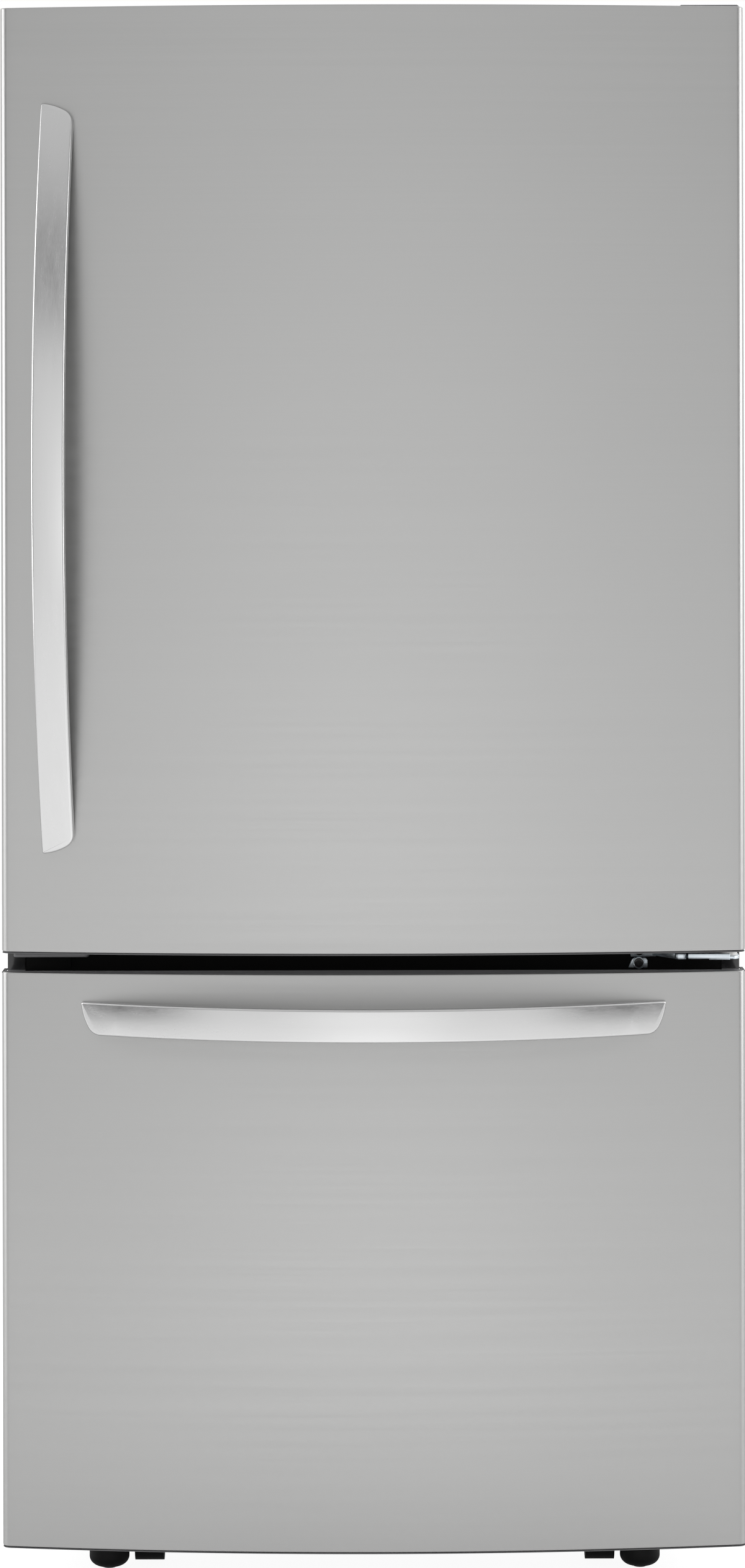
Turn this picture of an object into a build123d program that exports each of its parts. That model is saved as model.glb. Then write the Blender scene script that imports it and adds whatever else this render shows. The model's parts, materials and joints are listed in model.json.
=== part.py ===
from build123d import *
import os
from math import asin, atan2, cos, degrees, pi, radians, sin, sqrt, tan

# Bottom freezer refrigerator with one hinged upper door and one pull-out freezer drawer.
# Millimetres. The front faces -Y, +X is to the right seen from the front, the floor is z = 0.

# ---------------------------------------------------------------- case
CASE_WIDTH = 832.0
CASE_FRONT = -276.0        # y of the front flange
CASE_DEPTH = 725.0         # front flange to the back panel
CASE_BOTTOM = 50.0
CASE_TOP = 1737.0
SHEET = 1.0                # steel sheet of the case and of both fronts
FLANGE_WIDTH = 20.0        # front flange, folded double
FLANGE_THICKNESS = 2.0
BACK_BEAD = 2.0            # height of the stiffening beads in the back panel
BACK_BEADS = 4
LINER = 2.0                # thermoformed liner wall

FRIDGE_WALL = 52.0         # case side to the fridge cavity
FRIDGE_TOP_WALL = 49.0
FRIDGE_REAR_WALL = 77.0
FREEZER_WALL = 66.0
FREEZER_BOTTOM_WALL = 62.0
FREEZER_REAR_WALL = 87.0
DIVIDER = 80.0             # freezer ceiling to the fridge floor
MULLION_HEIGHT = 60.0
MULLION_DEPTH = 14.0
COVER_PLATE = (50.0, 33.0, 3.0)    # spare hinge cover: width, height, thickness
STEP_GAP = 7.0             # rail ends to the step over the machine bay
STEP_WALL = 60.0           # step front to the bay front
BAY_ROOF = 40.0            # bay top to the step top
BAY_TOP = 290.0
BAY_WALL = 12.0
CAVITY_RADIUS = 22.0       # upright corners at the back of both cavities

# ---------------------------------------------------------------- both fronts
FRONT_GAP = 12.0           # case flange to the back of the fronts
FRONT_THICKNESS = 70.0     # at the side edges
FRONT_BULGE = 32.0         # the middle stands this far ahead of the side edges
FRONT_EDGE_RADIUS = 10.0
DOOR_BOTTOM = 711.0
DOOR_RISE = 30.0           # door top above the case top
DOOR_LAP = 31.0            # fridge floor above the door's lower edge
DRAWER_BOTTOM = 46.0
FRONTS_GAP = 23.0          # drawer top to door bottom
CAP_RIM = 2.5              # end cap standing past the skin
CAP_THICKNESS = 12.0       # drawer's end caps
DOOR_CAP = 26.0            # door's lower cap, deep enough for the hinge pin
DOOR_TOP_CAP = 56.0        # door's upper cap, which also holds the hinge recess
FOLD_WIDTH = 28.0          # top fold of the drawer's skin
GASKET_WIDTH = 18.0
GASKET_HEAD = 14.0
GASKET_INSET = 18.0        # outer edge of the gasket from the side of the front
GASKET_CLEARANCE = 0.3     # gasket to case flange
GASKET_OVERLAP = 22.0      # gasket's outer edge past the fridge cavity, up and down

# ---------------------------------------------------------------- hinges
HINGE_INSET = 16.0         # hinge axis from the side of the door
HINGE_SETBACK = 40.0       # hinge axis behind the door's front corner plane
PIN_RADIUS = 6.0
PIN_CLEARANCE = 0.05
PIN_LENGTH = 20.0          # inside the door
HINGE_PLATE = 3.5
FLANGE_LEAF = 3.0          # middle hinge's leaf on the case front
HINGE_NOSE = 12.0          # radius of the hinge plates about the pin
LEAF_REACH = 48.0          # top hinge's leaf inward of the pin
LEAF_DEPTH = 110.0         # top hinge's leaf behind the case flange
FLANGE_REACH = 115.0       # middle hinge's flange inward of the pin
FLANGE_HALF = 14.0         # middle hinge's flange above and below its plate
SLANT_OUTER = 47.0         # middle hinge's slanted side, inward of the pin
SLANT_INNER = 84.0
WASHER_RADIUS = 10.0
HINGE_COVER_WALL = 2.0
HINGE_COVER_HEIGHT = 35.0
RECESS_REACH = 32.0        # swinging room in the door ahead of the hinge axis
DOOR_REST = 7.2            # washer that carries the door on the middle hinge
DOOR_REST_GAP = 0.1

# ---------------------------------------------------------------- handles
DOOR_HANDLE_LENGTH = 840.0
DOOR_HANDLE_INSET = 65.0   # its middle from the side of the door
DOOR_HANDLE_RISE = 1.5     # its middle above the door's middle
DRAWER_HANDLE_LENGTH = 655.0
DRAWER_HANDLE_DROP = 49.5  # its middle below the drawer's top
HANDLE_WIDTH = 37.0
HANDLE_THICKNESS = 10.0
HANDLE_BOW = 61.0          # outer face ahead of the front at mid-length
HANDLE_SLANT = 14.0        # the long edge passes the short one by this at each end
HANDLE_EDGE = 3.0
HANDLE_BACK_EDGE = 1.5

# ---------------------------------------------------------------- feet and rollers
FOOT_INSET = 114.0         # from the side of the case
FOOT_SETBACK = 8.0         # behind the case flange
FOOT_RADIUS = 22.75
FOOT_FLAT = 10.0
FOOT_HEIGHT = 21.0
STEM_RADIUS = 5.0
STEM_CLEARANCE = 0.05
WELD_NUT = 14.0            # middle to corner
WELD_NUT_DEPTH = 17.0
ROLLER_RADIUS = 22.0
ROLLER_LIFT = 2.0          # front rollers hang clear of the floor
FRONT_ROLLER_INSET = 159.0
FRONT_ROLLER_SETBACK = 33.0
FRONT_ROLLER_WIDTH = 33.0
REAR_ROLLER_INSET = 76.0
REAR_ROLLER_SETBACK = 44.0     # ahead of the back panel
REAR_ROLLER_WIDTH = 25.0
AXLE_RADIUS = 4.0
AXLE_CLEARANCE = 0.05
ROLLER_SIDE_GAP = 1.0
BRACKET = 2.0              # sheet of the base frame and its brackets

# ---------------------------------------------------------------- freezer drawer gear
RAIL_LENGTH = 420.0
RAIL_FRONT = 14.0          # rail front end behind the case flange
RAIL_BOTTOM = 240.0
RAIL_HEIGHT = 46.0
RAIL_SHEET = 2.0
RAIL_CLEARANCE = 0.4
RAIL_STEP = 5.0            # from one member's web to the next
GEAR_MODULE = 3.0
GEAR_TEETH = 10
PRESSURE_ANGLE = 25.0
ADDENDUM = 0.85            # in modules
DEDENDUM = 1.2             # in modules
BACKLASH = 0.3
PINION_WIDTH = 9.0
RACK_BASE = 4.0            # solid bar under the teeth
SHAFT_RADIUS = 5.0
SHAFT_CLEARANCE = 0.05
ARM_THICKNESS = 4.0
PINION_GAP = 1.0           # pinion to arm
PINION_INSET = 18.0        # pinion axis ahead of the rail ends, drawer shut

# ---------------------------------------------------------------- storage
SHELF_FRONT = 126.0        # shelf and crisper fronts behind the case flange
SHELF_SIDE_GAP = 9.0       # to the liner
SHELVES_LEFT = (0.232, 0.592)      # shelf tops, as shares of the room over the pantry shelf
SHELVES_RIGHT = (0.300, 0.678)
SHELF_SPLIT = 8.0          # between left and right shelves
SHELF_RIM = 12.0
SHELF_BRACKET = 20.0       # outer brackets in from the shelf's side
BRACKET_DROP = 34.0        # bracket depth below the rim at the ladder
PANTRY_BRACKET_DROP = 16.0
SHELF_HEIGHT = 14.0
GLASS = 4.0
DUCT_THICKNESS = 22.0
DUCT_SIDE_GAP = 24.0       # to the liner's side walls
DUCT_RISE = 13.0           # above the crisper cover
DUCT_DROP = 28.0           # below the fridge ceiling
DUCT_VENTS = 4
LADDER_WIDTH = 20.0
LADDER_THICKNESS = 4.0
LADDER_PITCH = 80.0
LADDER_SLOT = (6.0, 22.0)  # width and height
CRISPER_RISE = 13.0        # above the fridge floor
CRISPER_HEIGHT = 180.0
CRISPER_GAP = 6.0
CRISPER_COVER = 24.0       # height of its rim
CRISPER_COVER_GAP = 3.0
PANTRY_RISE = 23.0         # above the crisper cover
PANTRY_HEIGHT = 85.0
PANTRY_HEADROOM = 35.0     # pantry rim to the top of the shelf over it
PANTRY_INSET = 16.0        # from the shelf's side
PANTRY_FLANGE = 4.0
TUB_WALL = 3.0
TUB_RADIUS = 14.0
TUB_DRAFT = 4.0            # each side, bottom to top
RUNNER = 5.0               # width of the drawer runners
RUNNER_GAP = 0.4
DIKE_DEPTH = 48.0          # door liner's side ridges
DIKE_WIDTH = 20.0
DIKE_GAP = 16.0            # ridges to the fridge cavity's walls
BIN_FRONT = 111.0          # door bins reach this far behind the case flange
BIN_RISE = 48.0            # lowest bin above the fridge floor
BIN_SHARES = (0.0, 0.38, 0.704)    # bin floors between the lowest bin and the dairy bin
BIN_HEIGHTS = (120.0, 95.0, 95.0)
DAIRY_DROP = 188.0         # dairy bin's floor below the fridge ceiling
DAIRY_HEIGHT = 105.0
DAIRY_WIDTH = 330.0
LID_THICKNESS = 4.0
LID_PIN = 3.0
LID_CLEARANCE = 0.05
SLIDER_TRAVEL = 24.0
SLIDER_LENGTH = 30.0
LOWER_BIN_TOP = 400.0
UPPER_TRAY_GAP = 30.0      # lower bin's rim to the upper tray's runners
UPPER_TRAY_HEIGHT = 110.0
TRAY_LEDGE = 12.0

# ---------------------------------------------------------------- cooling
EVAPORATOR_DEPTH = 48.0
EVAPORATOR_RISE = 20.0     # above the step
EVAPORATOR_HEIGHT = 160.0
EVAPORATOR_HALF = 260.0
FIN_COUNT = 11
EVAPORATOR_ROWS = 2
FIN = 1.5
COVER_THICKNESS = 4.0
COVER_SLOTS = 8            # return air slots in the evaporator cover
COVER_GAP = 70.0           # evaporator cover ahead of the freezer's back wall
EVAP_FAN_DROP = 72.0       # below the freezer ceiling
EVAP_FAN_RADIUS = 48.0
COND_FAN_RADIUS = 58.0
COND_FAN_GAP = 90.0        # fan shroud beside the compressor
FAN_TIP_GAP = 4.0
FAN_DEPTH = 14.0
BLADE = 1.6
BLADE_PITCH = 28.0
MOTOR_LENGTH = 30.0
FAN_BLADES = 5
MOTOR_HALF = 20.0
FAN_HUB = 15.0
FAN_SHAFT = 3.0
FAN_SHAFT_CLEARANCE = 0.05
COMPRESSOR_INSET = 181.0   # from the side of the case
COMPRESSOR_RADIUS = 72.0
COMPRESSOR_HEIGHT = 150.0
MOUNT_HEIGHT = 18.0
MOUNT_RADIUS = 12.0
CONDENSER_GAP = 50.0       # beside the fan shroud
CONDENSER_INSET = 156.0
TUBE_RADIUS = 3.5
DRIER_RADIUS = 8.0
CONDENSER_ROWS = 3
CONDENSER_FINS = 5
PAN_HEIGHT = 36.0
DISCHARGE_HEIGHT = 52.0    # compressor's outlet tube above the bay floor
OUTLET_OFFSET = 40.0       # and ahead of the bay's middle
GRILLE_ROWS = 3
GRILLE_COLUMNS = 5
GRILLE_SLOT = (100.0, 10.0)
GLAND_INSET = 86.0
GLAND_Z = 92.0
GLAND_RADIUS = 8.0
GLAND_BORE = 4.5

# ---------------------------------------------------------------- worked out from the above
HALF = CASE_WIDTH / 2
BACK = CASE_FRONT + CASE_DEPTH
FRIDGE_FLOOR = DOOR_BOTTOM + DOOR_LAP
FRIDGE_CEILING = CASE_TOP - FRIDGE_TOP_WALL
FREEZER_FLOOR = CASE_BOTTOM + FREEZER_BOTTOM_WALL
FREEZER_CEILING = FRIDGE_FLOOR - DIVIDER
DRAWER_TOP = DOOR_BOTTOM - FRONTS_GAP
STEP_TOP = BAY_TOP + BAY_ROOF
FRIDGE_HALF = HALF - FRIDGE_WALL
FRIDGE_BACK = BACK - FRIDGE_REAR_WALL
FREEZER_HALF = HALF - FREEZER_WALL
FREEZER_BACK = BACK - FREEZER_REAR_WALL
FRONT_REAR = CASE_FRONT - FRONT_GAP
FRONT_CORNER = FRONT_REAR - FRONT_THICKNESS
FRONT_NOSE = FRONT_CORNER - FRONT_BULGE
FRONT_BOW = (HALF**2 + FRONT_BULGE**2) / (2 * FRONT_BULGE)
BOW_CENTRE = FRONT_NOSE + FRONT_BOW
DOOR_TOP = CASE_TOP + DOOR_RISE
HINGE_X = HALF - HINGE_INSET
HINGE_Y = FRONT_CORNER + HINGE_SETBACK
HINGE_LEVEL = DOOR_BOTTOM - CAP_RIM - DOOR_REST_GAP - DOOR_REST
GASKET_HALF = HALF - GASKET_INSET
DOOR_HANDLE_X = -HALF + DOOR_HANDLE_INSET
DOOR_HANDLE_Z = (DOOR_BOTTOM + DOOR_TOP) / 2 + DOOR_HANDLE_RISE
DRAWER_HANDLE_Z = DRAWER_TOP - DRAWER_HANDLE_DROP
FOOT_X = HALF - FOOT_INSET
FOOT_Y = CASE_FRONT + FOOT_SETBACK
FRONT_ROLLER_X = HALF - FRONT_ROLLER_INSET
FRONT_ROLLER_Y = CASE_FRONT + FRONT_ROLLER_SETBACK
REAR_ROLLER_X = HALF - REAR_ROLLER_INSET
REAR_ROLLER_Y = BACK - REAR_ROLLER_SETBACK
GEAR_PITCH = GEAR_MODULE * GEAR_TEETH / 2
RAIL_Y0 = CASE_FRONT + RAIL_FRONT
RAIL_Y1 = RAIL_Y0 + RAIL_LENGTH
PINION_Y = RAIL_Y1 - PINION_INSET
STEP_FRONT = RAIL_Y1 + STEP_GAP
BAY_FRONT = STEP_FRONT + STEP_WALL
RACK_ROOT = RAIL_BOTTOM + RACK_BASE
RACK_PITCH = RACK_ROOT + DEDENDUM * GEAR_MODULE
PINION_Z = RACK_PITCH + GEAR_PITCH
ARM_OUTER = FREEZER_HALF - 2 * RAIL_STEP - RAIL_SHEET
ARM_INNER = ARM_OUTER - ARM_THICKNESS
UPPER_TRAY_BOTTOM = LOWER_BIN_TOP + UPPER_TRAY_GAP
SHELF_Y0 = CASE_FRONT + SHELF_FRONT
DUCT_Y = FRIDGE_BACK - DUCT_THICKNESS
LADDER_Y = DUCT_Y - LADDER_THICKNESS
SHELF_Y1 = LADDER_Y
DUCT_HALF = FRIDGE_HALF - DUCT_SIDE_GAP
BIN_Y1 = CASE_FRONT + BIN_FRONT
DIKE_OUTER = FRIDGE_HALF - DIKE_GAP
DIKE_INNER = DIKE_OUTER - DIKE_WIDTH
DAIRY_X0 = -DIKE_INNER
DAIRY_X1 = DAIRY_X0 + DAIRY_WIDTH
DAIRY_BOTTOM = FRIDGE_CEILING - DAIRY_DROP
DAIRY_TOP = DAIRY_BOTTOM + DAIRY_HEIGHT
CRISPER_BOTTOM = FRIDGE_FLOOR + CRISPER_RISE
CRISPER_TOP = CRISPER_BOTTOM + CRISPER_HEIGHT
CRISPER_COVER_BOTTOM = CRISPER_TOP + CRISPER_COVER_GAP
CRISPER_COVER_TOP = CRISPER_COVER_BOTTOM + CRISPER_COVER
PANTRY_BOTTOM = CRISPER_COVER_TOP + PANTRY_RISE
PANTRY_SHELF_TOP = PANTRY_BOTTOM + PANTRY_HEIGHT + PANTRY_HEADROOM
DUCT_BOTTOM = CRISPER_COVER_TOP + DUCT_RISE
DUCT_TOP = FRIDGE_CEILING - DUCT_DROP
LID_Y = BIN_Y1 - LID_PIN - LID_THICKNESS
LID_Z = DAIRY_TOP - TUB_WALL - LID_PIN
ROOF = CASE_TOP + HINGE_COVER_HEIGHT
DECK = CASE_BOTTOM + BRACKET
BAY_MIDDLE = (BAY_FRONT + BACK) / 2
EVAPORATOR_BOTTOM = STEP_TOP + EVAPORATOR_RISE
EVAP_FAN_Z = FREEZER_CEILING - EVAP_FAN_DROP
COMPRESSOR_X = -HALF + COMPRESSOR_INSET
COND_FAN_X = COMPRESSOR_X + COMPRESSOR_RADIUS + COND_FAN_GAP
CONDENSER_LEFT = COND_FAN_X + CONDENSER_GAP
CONDENSER_RIGHT = HALF - CONDENSER_INSET
GLAND_X = HALF - GLAND_INSET


# ================================================================ helpers
def block(x0, x1, y0, y1, z0, z1):
    """Box between two opposite corners."""
    centre = Pos((x0 + x1) / 2, (y0 + y1) / 2, (z0 + z1) / 2)
    return centre * Box(x1 - x0, y1 - y0, z1 - z0)


def rod(axis, radius, start, end, a, b):
    """Cylinder along x, y or z from start to end; a and b are its other two places in order."""
    middle = (start + end) / 2
    body = Cylinder(radius, end - start)
    if axis == "x":
        return Pos(middle, a, b) * Rot(0, 90, 0) * body
    if axis == "y":
        return Pos(a, middle, b) * Rot(90, 0, 0) * body
    return Pos(a, b, middle) * body


def both_sides(shape):
    """The shape and its mirror image across the middle of the case."""
    return [shape, mirror(shape, about=Plane.YZ)]


def save(name, *pieces):
    """Write one sub-part, each piece a solid of its own."""
    solids = [solid for piece in pieces for solid in piece.solids()]
    whole = solids[0] if len(solids) == 1 else Compound(solids)
    export_step(whole, f"parts/{name}.step")


def front_section(inset=0.0, rear=None):
    """Plan outline of both fronts: bowed face, rounded side edges, flat back."""
    rear = FRONT_REAR if rear is None else rear
    half = HALF - inset
    bow = FRONT_BOW - inset
    corner_y = BOW_CENTRE - sqrt(bow**2 - half**2)
    sides = Polyline((-half, corner_y), (-half, rear), (half, rear), (half, corner_y))
    face = ThreePointArc((half, corner_y), (0, BOW_CENTRE - bow), (-half, corner_y))
    outline = make_face(sides + face)
    corners = outline.vertices().sort_by(Axis.Y)[:2]
    return fillet(corners, FRONT_EDGE_RADIUS - inset)


def front_slab(z0, z1, inset=0.0, rear=None):
    """Upright prism of the fronts' plan outline."""
    return Pos(0, 0, z0) * extrude(front_section(inset, rear), z1 - z0)


def tub_outline(width, depth, radius, square):
    """Plan outline of a bin; the back corners are square on bins that hang on a wall at -Y."""
    outline = Rectangle(width, depth)
    corners = outline.vertices().sort_by(Axis.Y)
    return fillet(corners[2:] if square else corners, radius)


def tub(x0, x1, y0, y1, z0, z1, wall=TUB_WALL, draft=TUB_DRAFT, radius=TUB_RADIUS, square=False):
    """Open-topped moulded bin with draft and rounded upright corners."""
    centre = Pos((x0 + x1) / 2, (y0 + y1) / 2, 0)
    width = x1 - x0
    depth = y1 - y0

    def shell(inset, bottom):
        low = tub_outline(width - 2 * (inset + draft), depth - 2 * (inset + draft), radius - inset, square)
        high = tub_outline(width - 2 * inset, depth - 2 * inset, radius - inset, square)
        return loft([Pos(0, 0, bottom) * low, Pos(0, 0, z1) * high], ruled=True)

    return centre * (shell(0.0, z0) - shell(wall, z0 + wall))


def ring(half_x, z0, z1, y0, y1, width):
    """Upright rectangular frame, half_x wide each side of the middle."""
    outer = block(-half_x, half_x, y0, y1, z0, z1)
    return outer - block(-half_x + width, half_x - width, y0 - 1, y1 + 1, z0 + width, z1 - width)


# ================================================================ case
def fridge_void(grow):
    """Fridge cavity, grown by a wall all round but at its open front."""
    half = FRIDGE_HALF + grow
    body = block(-half, half, CASE_FRONT, FRIDGE_BACK + grow, FRIDGE_FLOOR - grow, FRIDGE_CEILING + grow)
    upright = body.edges().filter_by(Axis.Z).group_by(Axis.Y)[-1]
    return fillet(upright, CAVITY_RADIUS + grow)


def freezer_void(grow):
    """Freezer cavity with its floor stepped up over the machine bay."""
    half = FREEZER_HALF + grow
    body = block(-half, half, CASE_FRONT, FREEZER_BACK + grow, FREEZER_FLOOR - grow, FREEZER_CEILING + grow)
    upright = body.edges().filter_by(Axis.Z).group_by(Axis.Y)[-1]
    body = fillet(upright, CAVITY_RADIUS + grow)
    step = block(-half - 1, half + 1, STEP_FRONT + grow, BACK, FREEZER_FLOOR - grow - 1, STEP_TOP - grow)
    return body - step


def machine_bay(grow=0.0):
    half = HALF - BAY_WALL + grow
    return block(-half, half, BAY_FRONT - grow, BACK + 5, CASE_BOTTOM + BRACKET, BAY_TOP + grow)


def make_case():
    inner = HALF - SHEET
    shell = block(-HALF, HALF, CASE_FRONT, BACK - SHEET, CASE_BOTTOM, CASE_TOP)
    shell -= block(-inner, inner, CASE_FRONT - 1, BACK, CASE_BOTTOM - 1, CASE_TOP - SHEET)
    flange_y = CASE_FRONT + FLANGE_THICKNESS
    for side in (-1, 1):
        x0, x1 = sorted((side * inner, side * (HALF - FLANGE_WIDTH)))
        shell += block(x0, x1, CASE_FRONT, flange_y, CASE_BOTTOM, CASE_TOP - SHEET)
    shell += block(-inner, inner, CASE_FRONT, flange_y, CASE_TOP - FLANGE_WIDTH, CASE_TOP - SHEET)
    save("cabinet_shell", shell)

    panel = block(-inner, inner, BACK - SHEET, BACK, BAY_TOP - 6, CASE_TOP)
    spacing = (CASE_TOP - BAY_TOP) / BACK_BEADS
    for level in range(BACK_BEADS):
        z = BAY_TOP + (level + 0.5) * spacing
        bead = block(-HALF + 80, HALF - 80, BACK, BACK + BACK_BEAD, z - 15, z + 15)
        panel += chamfer(bead.faces().sort_by(Axis.Y)[-1].edges(), BACK_BEAD * 0.9)
    save("back_panel", panel)

    foam_front = CASE_FRONT + FLANGE_THICKNESS
    foam = block(-inner, inner, foam_front, BACK - SHEET, CASE_BOTTOM + BRACKET, CASE_TOP - SHEET)
    foam -= fridge_void(LINER)
    foam -= freezer_void(LINER)
    foam -= machine_bay()
    foam -= mullion_solid()
    save("foam_insulation", foam)

    edge = HALF - FLANGE_WIDTH
    low, high = mullion_levels()
    flange = block(-edge, edge, CASE_FRONT, foam_front, high, CASE_TOP - FLANGE_WIDTH)
    liner = flange + fridge_void(LINER) - fridge_void(0)
    liner -= cavity_mouth(FRIDGE_HALF, FRIDGE_FLOOR, FRIDGE_CEILING)
    for x in (-FRIDGE_HALF + 64, -60, 60, FRIDGE_HALF - 64):
        liner += block(x - RUNNER, x + RUNNER, SHELF_Y0 + 12, SHELF_Y1 - 60, FRIDGE_FLOOR,
                       CRISPER_BOTTOM - RUNNER_GAP)
    side = FRIDGE_HALF - SHELF_SIDE_GAP
    for ledge in both_sides(block(side - 4, FRIDGE_HALF, SHELF_Y0 + 12, SHELF_Y1 - 30,
                                  CRISPER_COVER_BOTTOM - 8, CRISPER_COVER_BOTTOM)):
        liner += ledge
    save("fridge_liner", liner)

    flange = block(-edge, edge, CASE_FRONT, foam_front, CASE_BOTTOM + BRACKET, low)
    liner = flange + freezer_void(LINER) - freezer_void(0)
    liner -= cavity_mouth(FREEZER_HALF, FREEZER_FLOOR, FREEZER_CEILING)
    ledge_z = UPPER_TRAY_BOTTOM - RUNNER_GAP
    for ledge in both_sides(block(FREEZER_HALF - TRAY_LEDGE, FREEZER_HALF, CASE_FRONT + 20,
                                  FREEZER_BACK - COVER_GAP - COVER_THICKNESS, ledge_z - 6, ledge_z)):
        liner += ledge
    save("freezer_liner", liner)


def cavity_mouth(half, floor, ceiling):
    """Opening through a liner's front flange."""
    return block(-half, half, CASE_FRONT - 1, CASE_FRONT + 6, floor, ceiling)


def mullion_levels():
    """Lower and upper edge of the black bar between the two openings."""
    middle = (FREEZER_CEILING + FRIDGE_FLOOR) / 2
    return middle - MULLION_HEIGHT / 2, middle + MULLION_HEIGHT / 2


def mullion_solid():
    low, high = mullion_levels()
    edge = HALF - FLANGE_WIDTH
    return block(-edge, edge, CASE_FRONT, CASE_FRONT + MULLION_DEPTH, low, high)


def make_mullion():
    bar = mullion_solid()
    front = bar.faces().sort_by(Axis.Y)[0]
    bar = chamfer(front.edges().filter_by(Axis.X), 1.5)
    width, height, thickness = COVER_PLATE
    cover_x = -HALF + FLANGE_WIDTH + 2
    cover_z = HINGE_LEVEL - 1.5 - height / 2
    cover = block(cover_x, cover_x + width, CASE_FRONT - thickness, CASE_FRONT, cover_z, cover_z + height)
    cover = fillet(cover.edges().filter_by(Axis.Y), 3)
    save("mullion_bar", bar, cover)


def make_base():
    frame = block(-HALF + SHEET, HALF - SHEET, CASE_FRONT + FLANGE_THICKNESS, BACK - SHEET, CASE_BOTTOM, DECK)
    front_lip = FRONT_ROLLER_Y - ROLLER_RADIUS - 7
    rear_lip = FRONT_ROLLER_Y + ROLLER_RADIUS + 5
    reach = HALF - 20
    for y in (front_lip, rear_lip):
        frame += block(-reach, reach, y, y + BRACKET, CASE_BOTTOM - 14, CASE_BOTTOM)
    for x, y, width, lift in roller_places():
        axle_z = ROLLER_RADIUS + lift
        inner = width / 2 + ROLLER_SIDE_GAP
        for side in (-1, 1):
            x0, x1 = sorted((x + side * inner, x + side * (inner + BRACKET)))
            cheek = block(x0, x1, y - 13, y + 13, axle_z - 10, CASE_BOTTOM)
            frame += chamfer(cheek.edges().filter_by(Axis.X).group_by(Axis.Z)[0], 7)
        frame += rod("x", AXLE_RADIUS, x - inner, x + inner, y, axle_z)
    for side in (-1, 1):
        x = side * FOOT_X
        nut = Pos(x, FOOT_Y, DECK - WELD_NUT_DEPTH) * extrude(RegularPolygon(WELD_NUT, 6), WELD_NUT_DEPTH)
        frame += nut & block(x - WELD_NUT, x + WELD_NUT, CASE_FRONT + FLANGE_THICKNESS, FOOT_Y + WELD_NUT, 0, DECK)
        frame -= rod("z", STEM_RADIUS + STEM_CLEARANCE, 0, CASE_BOTTOM, x, FOOT_Y)
    save("base_frame", frame)


def roller_places():
    """Each roller's x, y, width and height above the floor."""
    places = []
    for side in (-1, 1):
        places.append((side * FRONT_ROLLER_X, FRONT_ROLLER_Y, FRONT_ROLLER_WIDTH, ROLLER_LIFT))
    for side in (-1, 1):
        places.append((side * REAR_ROLLER_X, REAR_ROLLER_Y, REAR_ROLLER_WIDTH, 0.0))
    return places


def make_rollers():
    names = ("front_roller_left", "front_roller_right", "rear_roller_left", "rear_roller_right")
    for name, (x, y, width, lift) in zip(names, roller_places()):
        rim = ROLLER_RADIUS
        hub = AXLE_RADIUS + AXLE_CLEARANCE
        half = width / 2
        axle_z = ROLLER_RADIUS + lift
        wheel = rod("x", rim, x - half, x + half, y, axle_z)
        save(name, wheel - rod("x", hub, x - half - 1, x + half + 1, y, axle_z))


def make_feet():
    for name, side in (("levelling_foot_left", -1), ("levelling_foot_right", 1)):
        outline = Polyline((0, 0), (FOOT_FLAT, 0), (FOOT_RADIUS * 0.78, FOOT_HEIGHT * 0.25),
                           (FOOT_RADIUS, FOOT_HEIGHT * 0.8), (FOOT_RADIUS, FOOT_HEIGHT),
                           (STEM_RADIUS, FOOT_HEIGHT), (STEM_RADIUS, CASE_BOTTOM - 2),
                           (0, CASE_BOTTOM - 2), close=True)
        foot = revolve(Plane.XZ * make_face(outline), Axis.Z)
        save(name, Pos(side * FOOT_X, FOOT_Y, 0) * foot)


# ================================================================ hinges
def top_plate():
    """Leaf of the top hinge from the case top out over the pin."""
    z1 = CASE_TOP + HINGE_PLATE
    nose = rod("z", HINGE_NOSE, CASE_TOP, z1, HINGE_X, HINGE_Y)
    return nose + block(HINGE_X - HINGE_NOSE, HINGE_X + HINGE_NOSE, HINGE_Y, CASE_FRONT + 40, CASE_TOP, z1)


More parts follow.
